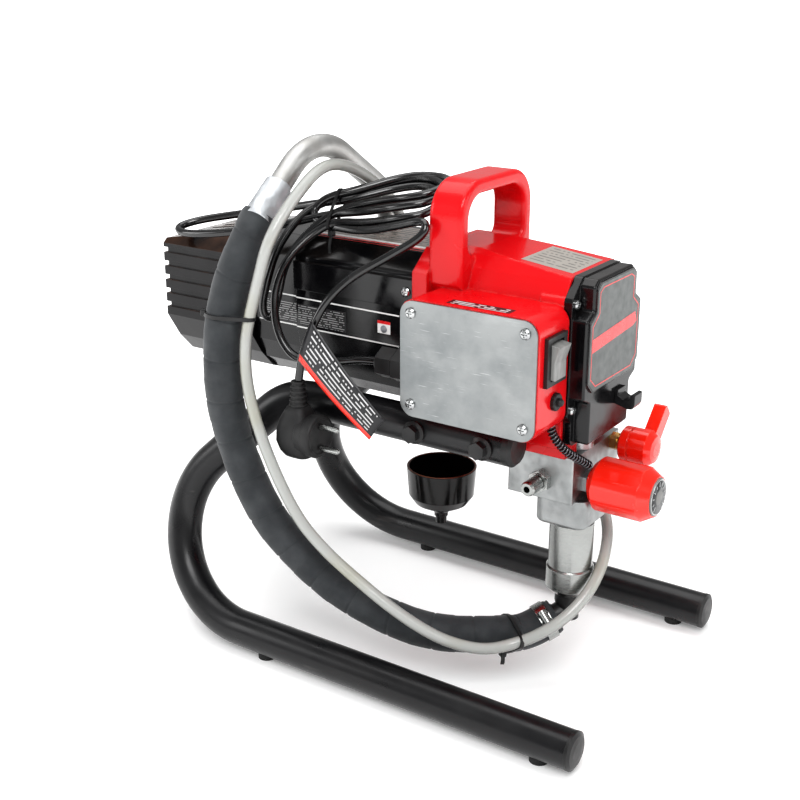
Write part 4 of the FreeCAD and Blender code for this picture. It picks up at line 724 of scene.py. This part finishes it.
slot_materials = {
    "red_paint": red_paint(),
    "black_tube_paint": black_paint(),
    "black_gloss_plastic": gloss_black(),
    "black_satin_plastic": satin_black(),
    "cast_aluminium": cast_metal(),
    "sheet_aluminium": scuffed_sheet(),
    "bent_tube_aluminium": dull_tube(),
    "foil": foil(),
    "steel": brushed("steel", (0.36, 0.37, 0.36), 0.24, stain=(0.22, 0.22, 0.21)),
    "zinc_steel": brushed("zinc_steel", (0.42, 0.42, 0.43), 0.32, stain=(0.2, 0.19, 0.17)),
    "chrome": polished(),
    "brass": brass(),
    "orange_red_plastic": orange_red(),
    "grey_plastic": grey_plastic(),
    "black_rubber": matte_rubber(),
    "cord_rubber": cord_rubber(),
    "foam_wrap": foam_wrap(),
    "clear_hose": clear_tube(),
    "tag_card": film("tag_card", (0.014, 0.014, 0.016)),
    "ferrite": simple_grain("ferrite", (0.05, 0.05, 0.055), (0.09, 0.085, 0.08), 0.6),
    "laminated_steel": stacked_steel(),
    "carbon": simple_grain("carbon", (0.03, 0.03, 0.03), (0.07, 0.065, 0.06), 0.7),
    "circuit_board": simple_grain("circuit_board", (0.01, 0.12, 0.04), (0.02, 0.2, 0.07), 0.4),
    "packing": simple_grain("packing", (0.62, 0.56, 0.42), (0.72, 0.66, 0.5), 0.5),
    "gear_steel": brushed("gear_steel", (0.38, 0.38, 0.39), 0.3, stain=(0.16, 0.14, 0.12)),
    "fan_plastic": satin_black("fan_plastic", (0.05, 0.05, 0.052)),
}
# A warm brown for the upward faces of the rear cover and the drip cup: a painted reflection of warm light.
WARM_TOP_REFLECTION = (0.16, 0.07, 0.035)
own_material = {
    "stand_bolts": satin_black("black_oxide_steel", (0.006, 0.006, 0.0065)),
    "pail_hook": gloss_black("hook_black"),
    "cable_gland": satin_black("gland_nylon", (0.005, 0.005, 0.0055)),
    "rocker_switch": grey_plastic(),
    # The rear cover and the cup carry the painted warm reflection on their upward faces.
    "fan_cover": gloss_black("rear_cover_black", (0.005, 0.0045, 0.005), 0.26, (WARM_TOP_REFLECTION, 0.55)),
    "drip_cup": gloss_black("cup_black", (0.004, 0.0035, 0.0035), 0.4, (WARM_TOP_REFLECTION, 0.3)),
}


def dress_frame():
    """Give every CAD node the finish of its own slot."""
    slots = {entry["node"]: entry["material_slot"] for entry in frame["record"]["subparts"]}
    for name, node in nodes.items():
        material = own_material.get(name, slot_materials[slots[name]])
        node.data.materials.clear()
        node.data.materials.append(material)


# ---------------------------------------------------------------- hoses and tubes

SUCTION_PATH = [
    (-8, -9.5, 55), (-26, -32, 42), (-40.5, -52, 46.5), (-74, -72, 44), (-112, -86, 47.5),
    (-167.5, -99, 66), (-218.5, -111, 104), (-246, -120, 142.5), (-268, -129, 209), (-273, -131, 256),
    (-272, -130, 300), (-264, -124, 342), (-254, -115, 372), (-248, -108, 390), (-246.5, -103, 397),
]
RETURN_PATH = [
    (4, 42, 169.5), (4, 42, 152), (16, 40, 130), (26, 14, 110), (27, -12, 92), (17, -34, 73),
    (0, -50, 58), (-17.5, -60, 48.5), (-34.5, -79, 45.5), (-54.5, -94, 51), (-77, -104, 59.5),
    (-109, -114, 78), (-146, -122, 103.5), (-169.5, -128, 122.5), (-193.5, -133, 148),
    (-220, -134, 193.5), (-236.5, -133, 231.5), (-246.5, -130, 261), (-248, -128, 291),
    (-242.5, -128, 314), (-232.5, -127, 346), (-222, -124, 384), (-216, -98, 413), (-216, -60, 435),
    (-215, -25, 431), (-216, 20, 409), (-218, 56, 380), (-220, 76, 345), (-220, 80, 300),
]


WRAP_RADIUS = 15.8
RETURN_RADIUS = 5.0
RETURN_BORE = 3.65


def wrap_radius(distance, angle, total):
    """Foam tape: slightly lumpy lengths, with a narrow groove at each seam that leans a little."""
    pitch, groove, depth = 37 * MM, 0.9 * MM, 0.9 * MM
    lean = 1.6 * MM * math.sin(angle + distance * 9)
    along = distance + lean
    turn = round(along / pitch)
    from_seam = abs(along - turn * pitch)
    seam = math.exp(-(from_seam / groove) ** 2)
    lump = noise.noise(Vector((distance * 55, math.cos(angle) * 1.4, math.sin(angle) * 1.4)))
    length_offset = 0.2 * MM * math.sin(turn * 2.4)
    ends = max(0.0, 1 - min(distance, total - distance) / (3 * MM))
    return WRAP_RADIUS * MM + length_offset + lump * 0.35 * MM - seam * depth - ends * 0.9 * MM


def suction_line():
    wrap = hose("hose_wrap", rounded(places(SUCTION_PATH)), wrap_radius, slot_materials["foam_wrap"],
                sides=40, step=0.0009, slot="foam_wrap")
    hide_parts("suction_hose")
    low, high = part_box("tube_sleeve")
    top = Vector(((low.x + high.x) / 2, high.y - 9 * MM, high.z - 9 * MM))
    slope = Vector((0, -0.766, -0.643))

    def creased(distance, angle, total):
        share = distance / total
        fold = 0.35 * MM * math.sin(angle * 3 + share * 5)
        crease = noise.noise(Vector((distance * 160, math.cos(angle) * 3, math.sin(angle) * 3)))
        lap = 0.45 * MM if math.sin(angle + 0.4 + share) > 0.93 else 0
        return (11.6 + 2.2 * share) * MM + fold + crease * 0.45 * MM + lap

    sleeve = hose("foil_sleeve", [top, top + slope * 39 * MM], creased, slot_materials["foil"], sides=64,
                  step=0.0008, bore=10.15 * MM, slot="foil")
    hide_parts("tube_sleeve")


def return_line():
    run = rounded(places(RETURN_PATH))
    tube = hose("return_tube", run, RETURN_RADIUS * MM, slot_materials["clear_hose"], sides=24,
                step=0.003, bore=RETURN_BORE * MM, slot="clear_hose")
    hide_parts("return_hose")


def spring_guard():
    """The sensor cable with a close spring wound round it."""
    run = rounded(places([(4, -56, 252), (5, -54, 241), (12, -45, 226), (19, -25, 212), (22, -17.5, 206)]))
    cable = hose("sensor_lead", run, 2.0 * MM, slot_materials["black_satin_plastic"], sides=14, step=0.001)
    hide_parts("sensor_cable")
    wire_step = 0.25 * MM
    steps, _ = even_steps(run, wire_step)
    frames = travelling_frames(steps)
    turn_length, coil_radius = 3.4 * MM, 3.1 * MM
    helix = []
    for index, (point, (across, up)) in enumerate(zip(steps, frames)):
        angle = 2 * math.pi * index * wire_step / turn_length
        helix.append(point + (across * math.cos(angle) + up * math.sin(angle)) * coil_radius)
    hose("spring_guard", helix, 0.75 * MM, spring_wire(), sides=8, step=0.0008, slot="black_satin_plastic")


def spring_wire():
    """Oiled black spring steel with a hard shine."""
    look = Look("spring_wire", (0.11, 0.11, 0.12), 0.22, 0.9)
    look.mottle((300, 3), 0.45, 0.75, 0.6, (0.22, 0.22, 0.23))
    look.grain((900, 2), 0.01)
    look.uneven_gloss((200, 3), 0.16, 0.32)
    return look.material


# ---------------------------------------------------------------- cord, plug and tag

CORD_RADIUS = 3.5
# The cord is followed from its gland: back along the near side, up to a loose coil on the motor,
# a loop over the rear cover, and from the coil's front end down to the plug.
CORD_LEAD = [
    (-128, -75, 281), (-162, -75.5, 280), (-190, -79, 273), (-224, -90, 271), (-242, -90, 288),
    (-249, -88, 312), (-248, -84, 338), (-242, -72, 358), (-230, -52, 376), (-214, -44, 385),
]
CORD_LOOPS = [
    (-180, -46, 388), (-140, -50, 398), (-124, -40, 401), (-123, -14, 409), (-144, 6, 414), (-175, 8, 412),
    (-214, -22, 400), (-240, -28, 396), (-290, -22, 384), (-340, -26, 374), (-376, -42, 367),
    (-386, -60, 362), (-366, -70, 360), (-320, -66, 366), (-270, -50, 376), (-226, -36, 389),
    (-185, -40, 396), (-145, -44, 406), (-126, -34, 409), (-124, -8, 417), (-150, 12, 420), (-182, 12, 416),
    (-214, -14, 403), (-236, -20, 398), (-252, -42, 388), (-258, -70, 362), (-262, -80, 334),
    (-270, -80, 306), (-262, -76, 296), (-254, -76, 318), (-250, -70, 350), (-238, -50, 376),
    (-216, -36, 394), (-180, -30, 404), (-142, -36, 412), (-125, -26, 417), (-123, -4, 422),
    (-144, 14, 422), (-178, 14, 420), (-214, -18, 407), (-234, -28, 402), (-246, -34, 390),
    (-238, -42, 382), (-216, -44, 380),
]
CORD_TAIL = [
    (-180, -52, 382), (-142, -56, 392), (-110, -62, 402), (-108, -68, 390), (-137, -77, 371),
    (-165, -90, 353), (-180, -104, 334), (-190, -110, 312), (-200, -112, 286), (-204.5, -112, 262),
]
COIL_TIE_PLACE = (-222, -30, 396)


def supply_cord():
    cord = hose("supply_cord", rounded(places(CORD_LEAD + CORD_LOOPS + CORD_TAIL), 3), CORD_RADIUS * MM,
                slot_materials["cord_rubber"], sides=16, step=0.0025, slot="cord_rubber")
    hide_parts("power_cord")


def hull_around(circles, gap):
    """The tight outline round circles in a plane, as points with their outward directions."""
    outline = []
    for step in range(72):
        angle = 2 * math.pi * step / 72
        out = Vector((math.cos(angle), math.sin(angle)))
        reach = max(centre.dot(out) + radius for centre, radius in circles) + gap
        outline.append((out, reach))
    points = []
    for index, (out, reach) in enumerate(outline):
        before, after = outline[index - 1][1], outline[(index + 1) % len(outline)][1]
        slope = (after - before) / (4 * math.pi / len(outline))
        points.append(out * reach + Vector((-out.y, out.x)) * slope)
    return points


def tie_plane(heading):
    """A tie's own directions: along the things it holds, and two across them."""
    heading = Vector(heading).normalized()
    across = heading.cross(Vector((0, 0, 1)))
    across = across.normalized() if across.length > 0.2 else Vector((1, 0, 0))
    return heading, across, heading.cross(across).normalized()


def cable_tie(name, place, plane, circles, width, head_angle, tail_length, tail_bend=0.3):
    """A nylon tie pulled tight round circles that are given in its own plane, in millimetres."""
    heading, across, up = plane
    nylon = slot_materials["black_satin_plastic"]
    rings = []
    for inner, outer in zip(hull_around(circles, 0.1), hull_around(circles, 1.2)):
        ring = []
        for point, side in ((inner, -1), (outer, -1), (outer, 1), (inner, 1)):
            ring.append(place + (across * point.x + up * point.y + heading * side * width / 2) * MM)
        rings.append(ring)
    vertices, faces = closed_skin(rings)
    strap = new_piece(name + "_strap", vertices, faces, nylon, smooth=False, slot="black_satin_plastic")
    angle = math.radians(head_angle)
    flat_out = Vector((math.cos(angle), math.sin(angle)))
    reach = max(centre.dot(flat_out) + radius for centre, radius in circles) + 2.6
    touching = max(circles, key=lambda circle: circle[0].dot(flat_out) + circle[1])[0]
    flat_root = touching + flat_out * (reach - touching.dot(flat_out))
    out = across * flat_out.x + up * flat_out.y
    along = heading.cross(out)
    root = place + (across * flat_root.x + up * flat_root.y) * MM
    block(name + "_head", root, (heading, along, out), (width / 2 + 1.1, 3.0, 2.4), nylon, 0.8,
          slot="black_satin_plastic")
    rings = []
    for step in range(8):
        share = step / 7
        bend = math.sin(share * 2) * tail_bend
        point = root + (out * share + along * bend) * tail_length * MM
        rings.append([point + (heading * a * width / 2 + along * b * 0.6) * MM for a, b in SQUARE])
    vertices, faces = ring_skin(rings)
    new_piece(name + "_tail", vertices, faces, nylon, smooth=False, slot="black_satin_plastic")
    return strap


def circle_at(place, plane, point, radius):
    """A round thing that crosses a tie's plane: its centre in that plane, in millimetres, and its radius."""
    offset = (point - place) / MM
    return Vector((offset.dot(plane[1]), offset.dot(plane[2]))), radius


def nearest_point(run, place):
    return min(run, key=lambda point: (point - place).length)


def crossings(run, place, heading, reach):
    """Where a run of points passes through a tie's plane near its place."""
    found = []
    for start, end in zip(run, run[1:]):
        before, after = (start - place).dot(heading), (end - place).dot(heading)
        if before * after <= 0 and before != after:
            point = start.lerp(end, before / (before - after))
            if (point - place).length < reach:
                found.append(point)
    return found


def cable_ties():
    """Two ties that hold the clear hose to the padded one, and one round the cord's coil."""
    suction, clear = rounded(places(SUCTION_PATH)), rounded(places(RETURN_PATH))
    pairs = (
        ("side_tie", (-272, -130, 314), (0.1, 0.05, 1), 200, 3),
        ("floor_tie", (-35, -45, 45), (-0.59, -0.8, 0.19), 95, 9),
    )
    for name, place, heading, head_angle, tail in pairs:
        middle = nearest_point(suction, at(*place))
        plane = tie_plane(heading)
        beside = crossings(clear, middle, plane[0], 0.06)[0]
        circles = [circle_at(middle, plane, middle, WRAP_RADIUS + 0.1)]
        circles.append(circle_at(middle, plane, beside, RETURN_RADIUS))
        strap = cable_tie(name, middle, plane, circles, 3.4, head_angle, tail)
        if name == "side_tie":
            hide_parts("hose_ties")
    cord = rounded(places(CORD_LEAD + CORD_LOOPS + CORD_TAIL), 3)
    middle, plane = at(*COIL_TIE_PLACE), tie_plane((1, 0.12, 0.12))
    turns = crossings(cord, middle, plane[0], 0.045)
    circles = [circle_at(middle, plane, point, CORD_RADIUS) for point in turns]
    cable_tie("coil_tie", middle, plane, circles, 2.6, 80, 17, -0.25)


def rib_grip(share):
    """How far the ribs of the plug's strain relief stand out along its length."""
    return 0.9 if math.sin(share * 6 * 2 * math.pi) > 0.1 else -0.5


def mains_plug():
    """The moulded plug: ribbed strain relief, rounded grip and a round face with chamfered rim."""
    rubber = slot_materials["black_rubber"]
    steps = 72
    relief = [(0, 3.6)]
    for step in range(steps + 1):
        share = step / steps
        relief.append((24 * share, 4.9 + 2.6 * share + rib_grip(share)))
    sleeve = lathe("plug_relief", relief, at(-205, -112, 263), (0, 0, -1), rubber, sides=32,
                   slot="black_rubber")
    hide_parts("plug_body")
    # Each section of the grip: its height, half its width each way, and where its middle is in x.
    levels = [(241, 8, 8.5, -205), (236, 11, 10.5, -205.5), (229, 14.5, 13, -206), (221, 16.5, 15, -206.5),
              (210, 17, 15.5, -206.5), (202, 15.5, 14, -205), (197, 12.5, 11, -204), (195.5, 9, 8, -204)]
    rings = []
    for level, half_x, half_y, middle in levels:
        ring = []
        for side in range(40):
            angle = 2 * math.pi * side / 40
            cosine, sine = math.cos(angle), math.sin(angle)
            x = math.copysign(abs(cosine) ** 0.6, cosine) * half_x
            y = math.copysign(abs(sine) ** 0.6, sine) * half_y
            ring.append(at(middle + x, -112 + y, level))
        rings.append(ring)
    vertices, faces = ring_skin(rings)
    new_piece("plug_grip", vertices, faces, rubber, slot="black_rubber")
    face = [(0, 0), (0, 14), (1.5, 17), (9, 17.6), (9.6, 18.6), (17.4, 18.6), (18.4, 17.6), (18.4, 15),
            (17.4, 14.4), (17.4, 0)]
    disc = lathe("plug_face", face, at(-200.5, -112, 217), (1, 0, 0), rubber, slot="black_rubber")
    soften(disc, 0.4)


def hanging_tag():
    """The stiff printed tag round the cord: a gently curled card with bars of small print."""
    outline = ((-185.5, 319), (-200, 283), (-128.5, 228), (-113.5, 248))
    top, near, low, far = [Vector((x, 0, z)) for x, z in outline]
    rows, columns = 12, 28
    grid = []
    for row in range(rows + 1):
        for column in range(columns + 1):
            across, along = row / rows, column / columns
            point = near.lerp(low, along).lerp(top.lerp(far, along), across)
            curl = -118.4 - 2.6 * math.sin(along * math.pi) + 1.6 * (across - 0.5) ** 2 * 4
            grid.append(at(point.x, curl, point.z))
    card = printed("tag_print", (0.010, 0.010, 0.012), (0.62, 0.62, 0.62), 8, 56, fill=0.34, margin=0.06)
    tag = new_piece("hanging_tag", grid, grid_faces(columns, rows), card, slot="tag_card")
    map_grid(tag, columns, rows)
    tag.data.materials.append(film("tag_band", (0.72, 0.03, 0.015)))
    band_rows = 2
    for polygon in tag.data.polygons:
        if polygon.index // columns < band_rows:
            polygon.material_index = 1
    thick = tag.modifiers.new("card", "SOLIDIFY")
    thick.thickness = 0.5 * MM
    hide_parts("cord_tag")


# ---------------------------------------------------------------- labels and small markings

DOWN = (0, 0, -1)


def roof_label(name, node, low_corner, size, material, rows):
    """A label laid on a roof from above."""
    label(name, node, low_corner, size, material, up=(0, 1, 0), direction=DOWN, rows=rows)


def shroud_labels():
    """On the shroud's near side white rules, fine print and a small sign; on its roof a label and strips."""
    white, red = film("label_white", (0.75, 0.75, 0.74)), film("label_red", (0.62, 0.012, 0.014))
    for name, level in (("upper_rule", 316), ("lower_rule", 289.5)):
        label(name, "motor_shroud", (-293, -130, level), (154, 1.3), white, rows=1)
    black, pale_ink = (0.006, 0.006, 0.007), (0.34, 0.34, 0.34)
    fine_print = printed("fine_print", black, pale_ink, 9, 60, fill=0.4, margin=0.02)
    label("fine_print_panel", "motor_shroud", (-286, -130, 293), (92, 18), fine_print)
    label("sign_base", "motor_shroud", (-161, -130, 299), (13, 10.5), white)
    band = label("sign_band", "motor_shroud", (-161, -130, 307.4), (13, 2.6), red, rows=1)
    band.location.y = -0.15 * MM
    grey = film("sign_grey", (0.22, 0.23, 0.25))
    disc = [(0, 0), (0, 3.2), (0.25, 3.2), (0.25, 0)]
    lathe("sign_disc", disc, at(-154.5, -58.2, 303), (0, -1, 0), grey, slot="black_gloss_plastic")
    brown, ink = (0.20, 0.17, 0.15), (0.05, 0.05, 0.05)
    roof = printed("roof_print", brown, ink, 9, 26, fill=0.5, margin=0.04, roughness=0.22)
    roof_label("roof_label", "motor_shroud", (-241, -27, 400), (112, 56), roof, 8)
    roof_label("roof_strip_white", "motor_shroud", (-241, -32.5, 400), (112, 5), white, 2)
    roof_label("roof_strip_red", "motor_shroud", (-241, -39, 400), (112, 6), red, 2)


def housing_labels():
    """The grey rating plate on the housing's roof and the small sign on the control box."""
    plate = printed("rating_print", (0.33, 0.31, 0.28), (0.10, 0.095, 0.09), 8, 22, fill=0.3, margin=0.08)
    roof_label("rating_plate", "drive_housing", (-43, -27, 400), (46, 54), plate, 14)
    small = printed("small_print", (0.012, 0.012, 0.014), (0.7, 0.7, 0.7), 3, 16, fill=0.5, margin=0.06)
    roof_label("box_sign", "drive_housing", (-72, -92, 370), (56, 11), small, 6)


def panel_outline(inset):
    """The raised panel's outline, drawn in by an inset, as (y, z) corners."""
    half = [(29.5 - inset, 364 - inset), (35.5 - inset, 359 - inset * 0.6),
            (35.5 - inset, 341 - inset * 0.4), (46 - inset, 334.5 - inset * 0.8),
            (46 - inset, 285 + inset * 0.7), (37 - inset, 276 + inset)]
    return half + [(-y, z) for y, z in reversed(half)]


def cover_panel():
    """The dark film on the front cover's raised panel, its thin red outline and its red flash."""
    face = (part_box("front_cover")[1].x - PUMP_AXIS.x) / MM
    forward, slot = (1, 0, 0), "black_gloss_plastic"
    grey = film("panel_film", (0.045, 0.052, 0.050), 0.38)
    line = film("panel_line", (0.62, 0.02, 0.02))
    flash_red = film("panel_red", (0.66, 0.015, 0.018))
    film_thickness, line_width, line_thickness = 0.15, 0.9, 0.12
    corners = [at(face + 0.02, y, z) for y, z in reversed(panel_outline(1.2))]
    outline_plate("panel_film", corners, forward, film_thickness, grey, slot=slot)
    corners = [at(face + film_thickness, y, z) for y, z in panel_outline(4.6)]
    stripe("panel_outline", corners, line_width, forward, line_thickness, line, slot=slot)
    flash = [(-41.2, 309.5), (-41.2, 320.5), (36, 326), (39.5, 317.5), (33, 314.8)]
    corners = [at(face + film_thickness, y, z) for y, z in reversed(flash)]
    outline_plate("panel_flash", corners, forward, line_thickness, flash_red, slot=slot)


def knob_dial():
    """The knob's end disc: a bright rim, a dark dial with tick marks, and a hub."""
    low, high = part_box("knob_cap")
    centre = Vector((high.x, (low.y + high.y) / 2, (low.z + high.z) / 2))
    forward = Vector((1, 0, 0))
    riding = {"body": "pressure_knob", "slot": "grey_plastic"}
    hoop("dial_rim", centre - forward * 0.4 * MM, forward, 14.6, 0.7, slot_materials["chrome"], **riding)
    dark = film("dial_dark", (0.03, 0.032, 0.034), 0.3)
    lathe("dial_plate", [(0, 0), (0, 13.6), (0.3, 13.6), (0.3, 0)], centre, forward, dark, **riding)
    pale = film("dial_pale", (0.42, 0.43, 0.43), 0.3)
    first_angle, angle_step = 225, 27
    for step in range(11):
        angle = math.radians(first_angle - angle_step * step)
        out = Vector((0, math.cos(angle), math.sin(angle)))
        place = centre + (out * 11.2 + forward * 0.35) * MM
        half_length = 2.1 if step % 5 == 0 else 1.5
        half = (half_length, 0.35, 0.15)
        block(f"dial_tick_{step}", place, (out, forward.cross(out), forward), half, pale, 0.05, **riding)
    hub = [(0, 0), (0, 6.5), (0.5, 6.5), (0.8, 6.1), (0.8, 0)]
    lathe("dial_hub", hub, centre, forward, slot_materials["grey_plastic"], **riding)


def cup_rim_highlight():
    """A brownish metallic ring laid on the drip cup's rim: a painted highlight that stands for the light
    caught along the rim.
    """
    # Painted highlight: the ring's brown colour stands in for light along the rim; its darker patches and
    # bump are grain.
    rim_highlight = Look("cup_rim_highlight_paint", (0.20, 0.07, 0.035), 0.35, 0.4)
    rim_highlight.tint(rim_highlight.stretch_range(rim_highlight.noise(120, 4), 0.4, 0.7), (0.07, 0.03, 0.02))
    rim_highlight.bump(rim_highlight.noise(500, 2), 0.02)
    hoop("cup_rim_highlight", at(-132, 0, 164.5), (0, 0, 1), 30.4, 0.75, rim_highlight.material, sides=96,
         slot="black_gloss_plastic")


dress_frame()
suction_line()
return_line()
spring_guard()
supply_cord()
cable_ties()
mains_plug()
hanging_tag()
shroud_labels()
housing_labels()
cover_panel()
knob_dial()
cup_rim_highlight()


# ---------------------------------------------------------------- studio

def studio():
    """A pale floor that fades into a white surround, and four soft lights."""
    floor_look = Look("studio_floor", (0.93, 0.93, 0.93), 0.7)
    floor_look.roughen(floor_look.noise(3, 2), 0.65, 0.75)
    distance = floor_look.node("VectorMath", operation="LENGTH")
    floor_look.link(floor_look.node("NewGeometry").outputs["Position"], distance.inputs[0])
    # Painted light: the floor glows, faintly near the middle and fully white far off, so it fades into the
    # surround.
    floor_glow = floor_look.stretch_range(distance.outputs["Value"], 0.35, 1.6, 0.12, 1.0)
    floor_look.shader.inputs["Emission Color"].default_value = (1, 1, 1, 1)
    floor_look.link(floor_glow, floor_look.shader.inputs["Emission Strength"])
    size = 30.0
    corners = [Vector((x * size, y * size, 0)) for x, y in ((-1, -1), (1, -1), (1, 1), (-1, 1))]
    mesh = bpy.data.meshes.new("floor")
    mesh.from_pydata([tuple(corner) for corner in corners], [], [(0, 1, 2, 3)])
    floor = bpy.data.objects.new("floor", mesh)
    mesh.materials.append(floor_look.material)
    bpy.context.scene.collection.objects.link(floor)
    white_surround()
    bpy.context.scene.view_settings.view_transform = "Standard"
    bpy.context.scene.view_settings.look = "Medium High Contrast"
    middle = (cad_box[0] + cad_box[1]) / 2
    softbox("key_light", Vector((0.9, -1.5, 1.9)), middle, 1.1, 30)
    softbox("top_light", Vector((-0.3, 0.2, 2.3)), middle, 2.2, 32)
    softbox("side_light", Vector((2.2, 0.4, 0.9)), middle, 1.0, 10)
    softbox("rear_light", Vector((-1.6, -1.3, 0.9)), middle, 0.9, 10)


def white_surround():
    """White behind the object, dimmer where it lights and reflects."""
    world = bpy.data.worlds.new("studio")
    world.use_nodes = True
    tree = world.node_tree
    background = tree.nodes["Background"]
    background.inputs["Color"].default_value = (1, 1, 1, 1)
    path = tree.nodes.new("ShaderNodeLightPath")
    strength = tree.nodes.new("ShaderNodeMapRange")
    strength.inputs["To Min"].default_value = 0.42
    strength.inputs["To Max"].default_value = 1.0
    tree.links.new(path.outputs["Is Camera Ray"], strength.inputs["Value"])
    tree.links.new(strength.outputs["Result"], background.inputs["Strength"])
    bpy.context.scene.world = world


def softbox(name, place, target, size, power):
    data = bpy.data.lights.new(name, "AREA")
    data.shape = "SQUARE"
    data.size = size
    data.energy = power
    lamp = bpy.data.objects.new(name, data)
    lamp.location = place
    lamp.rotation_euler = (target - place).to_track_quat("-Z", "Y").to_euler()
    bpy.context.scene.collection.objects.link(lamp)


def camera():
    """At the near front corner, looking down a little."""
    data = bpy.data.cameras.new("camera")
    data.sensor_width = 36
    data.lens = 57.8
    view = bpy.data.objects.new("camera", data)
    azimuth, pitch = math.radians(34.21), math.radians(19.72)
    level = math.cos(pitch)
    back = Vector((math.sin(azimuth) * level, -math.cos(azimuth) * level, math.sin(pitch)))
    view.location = at(439, -907, 611)
    view.rotation_euler = (-back).to_track_quat("-Z", "Y").to_euler()
    bpy.context.scene.collection.objects.link(view)
    bpy.context.scene.camera = view


studio()
camera()
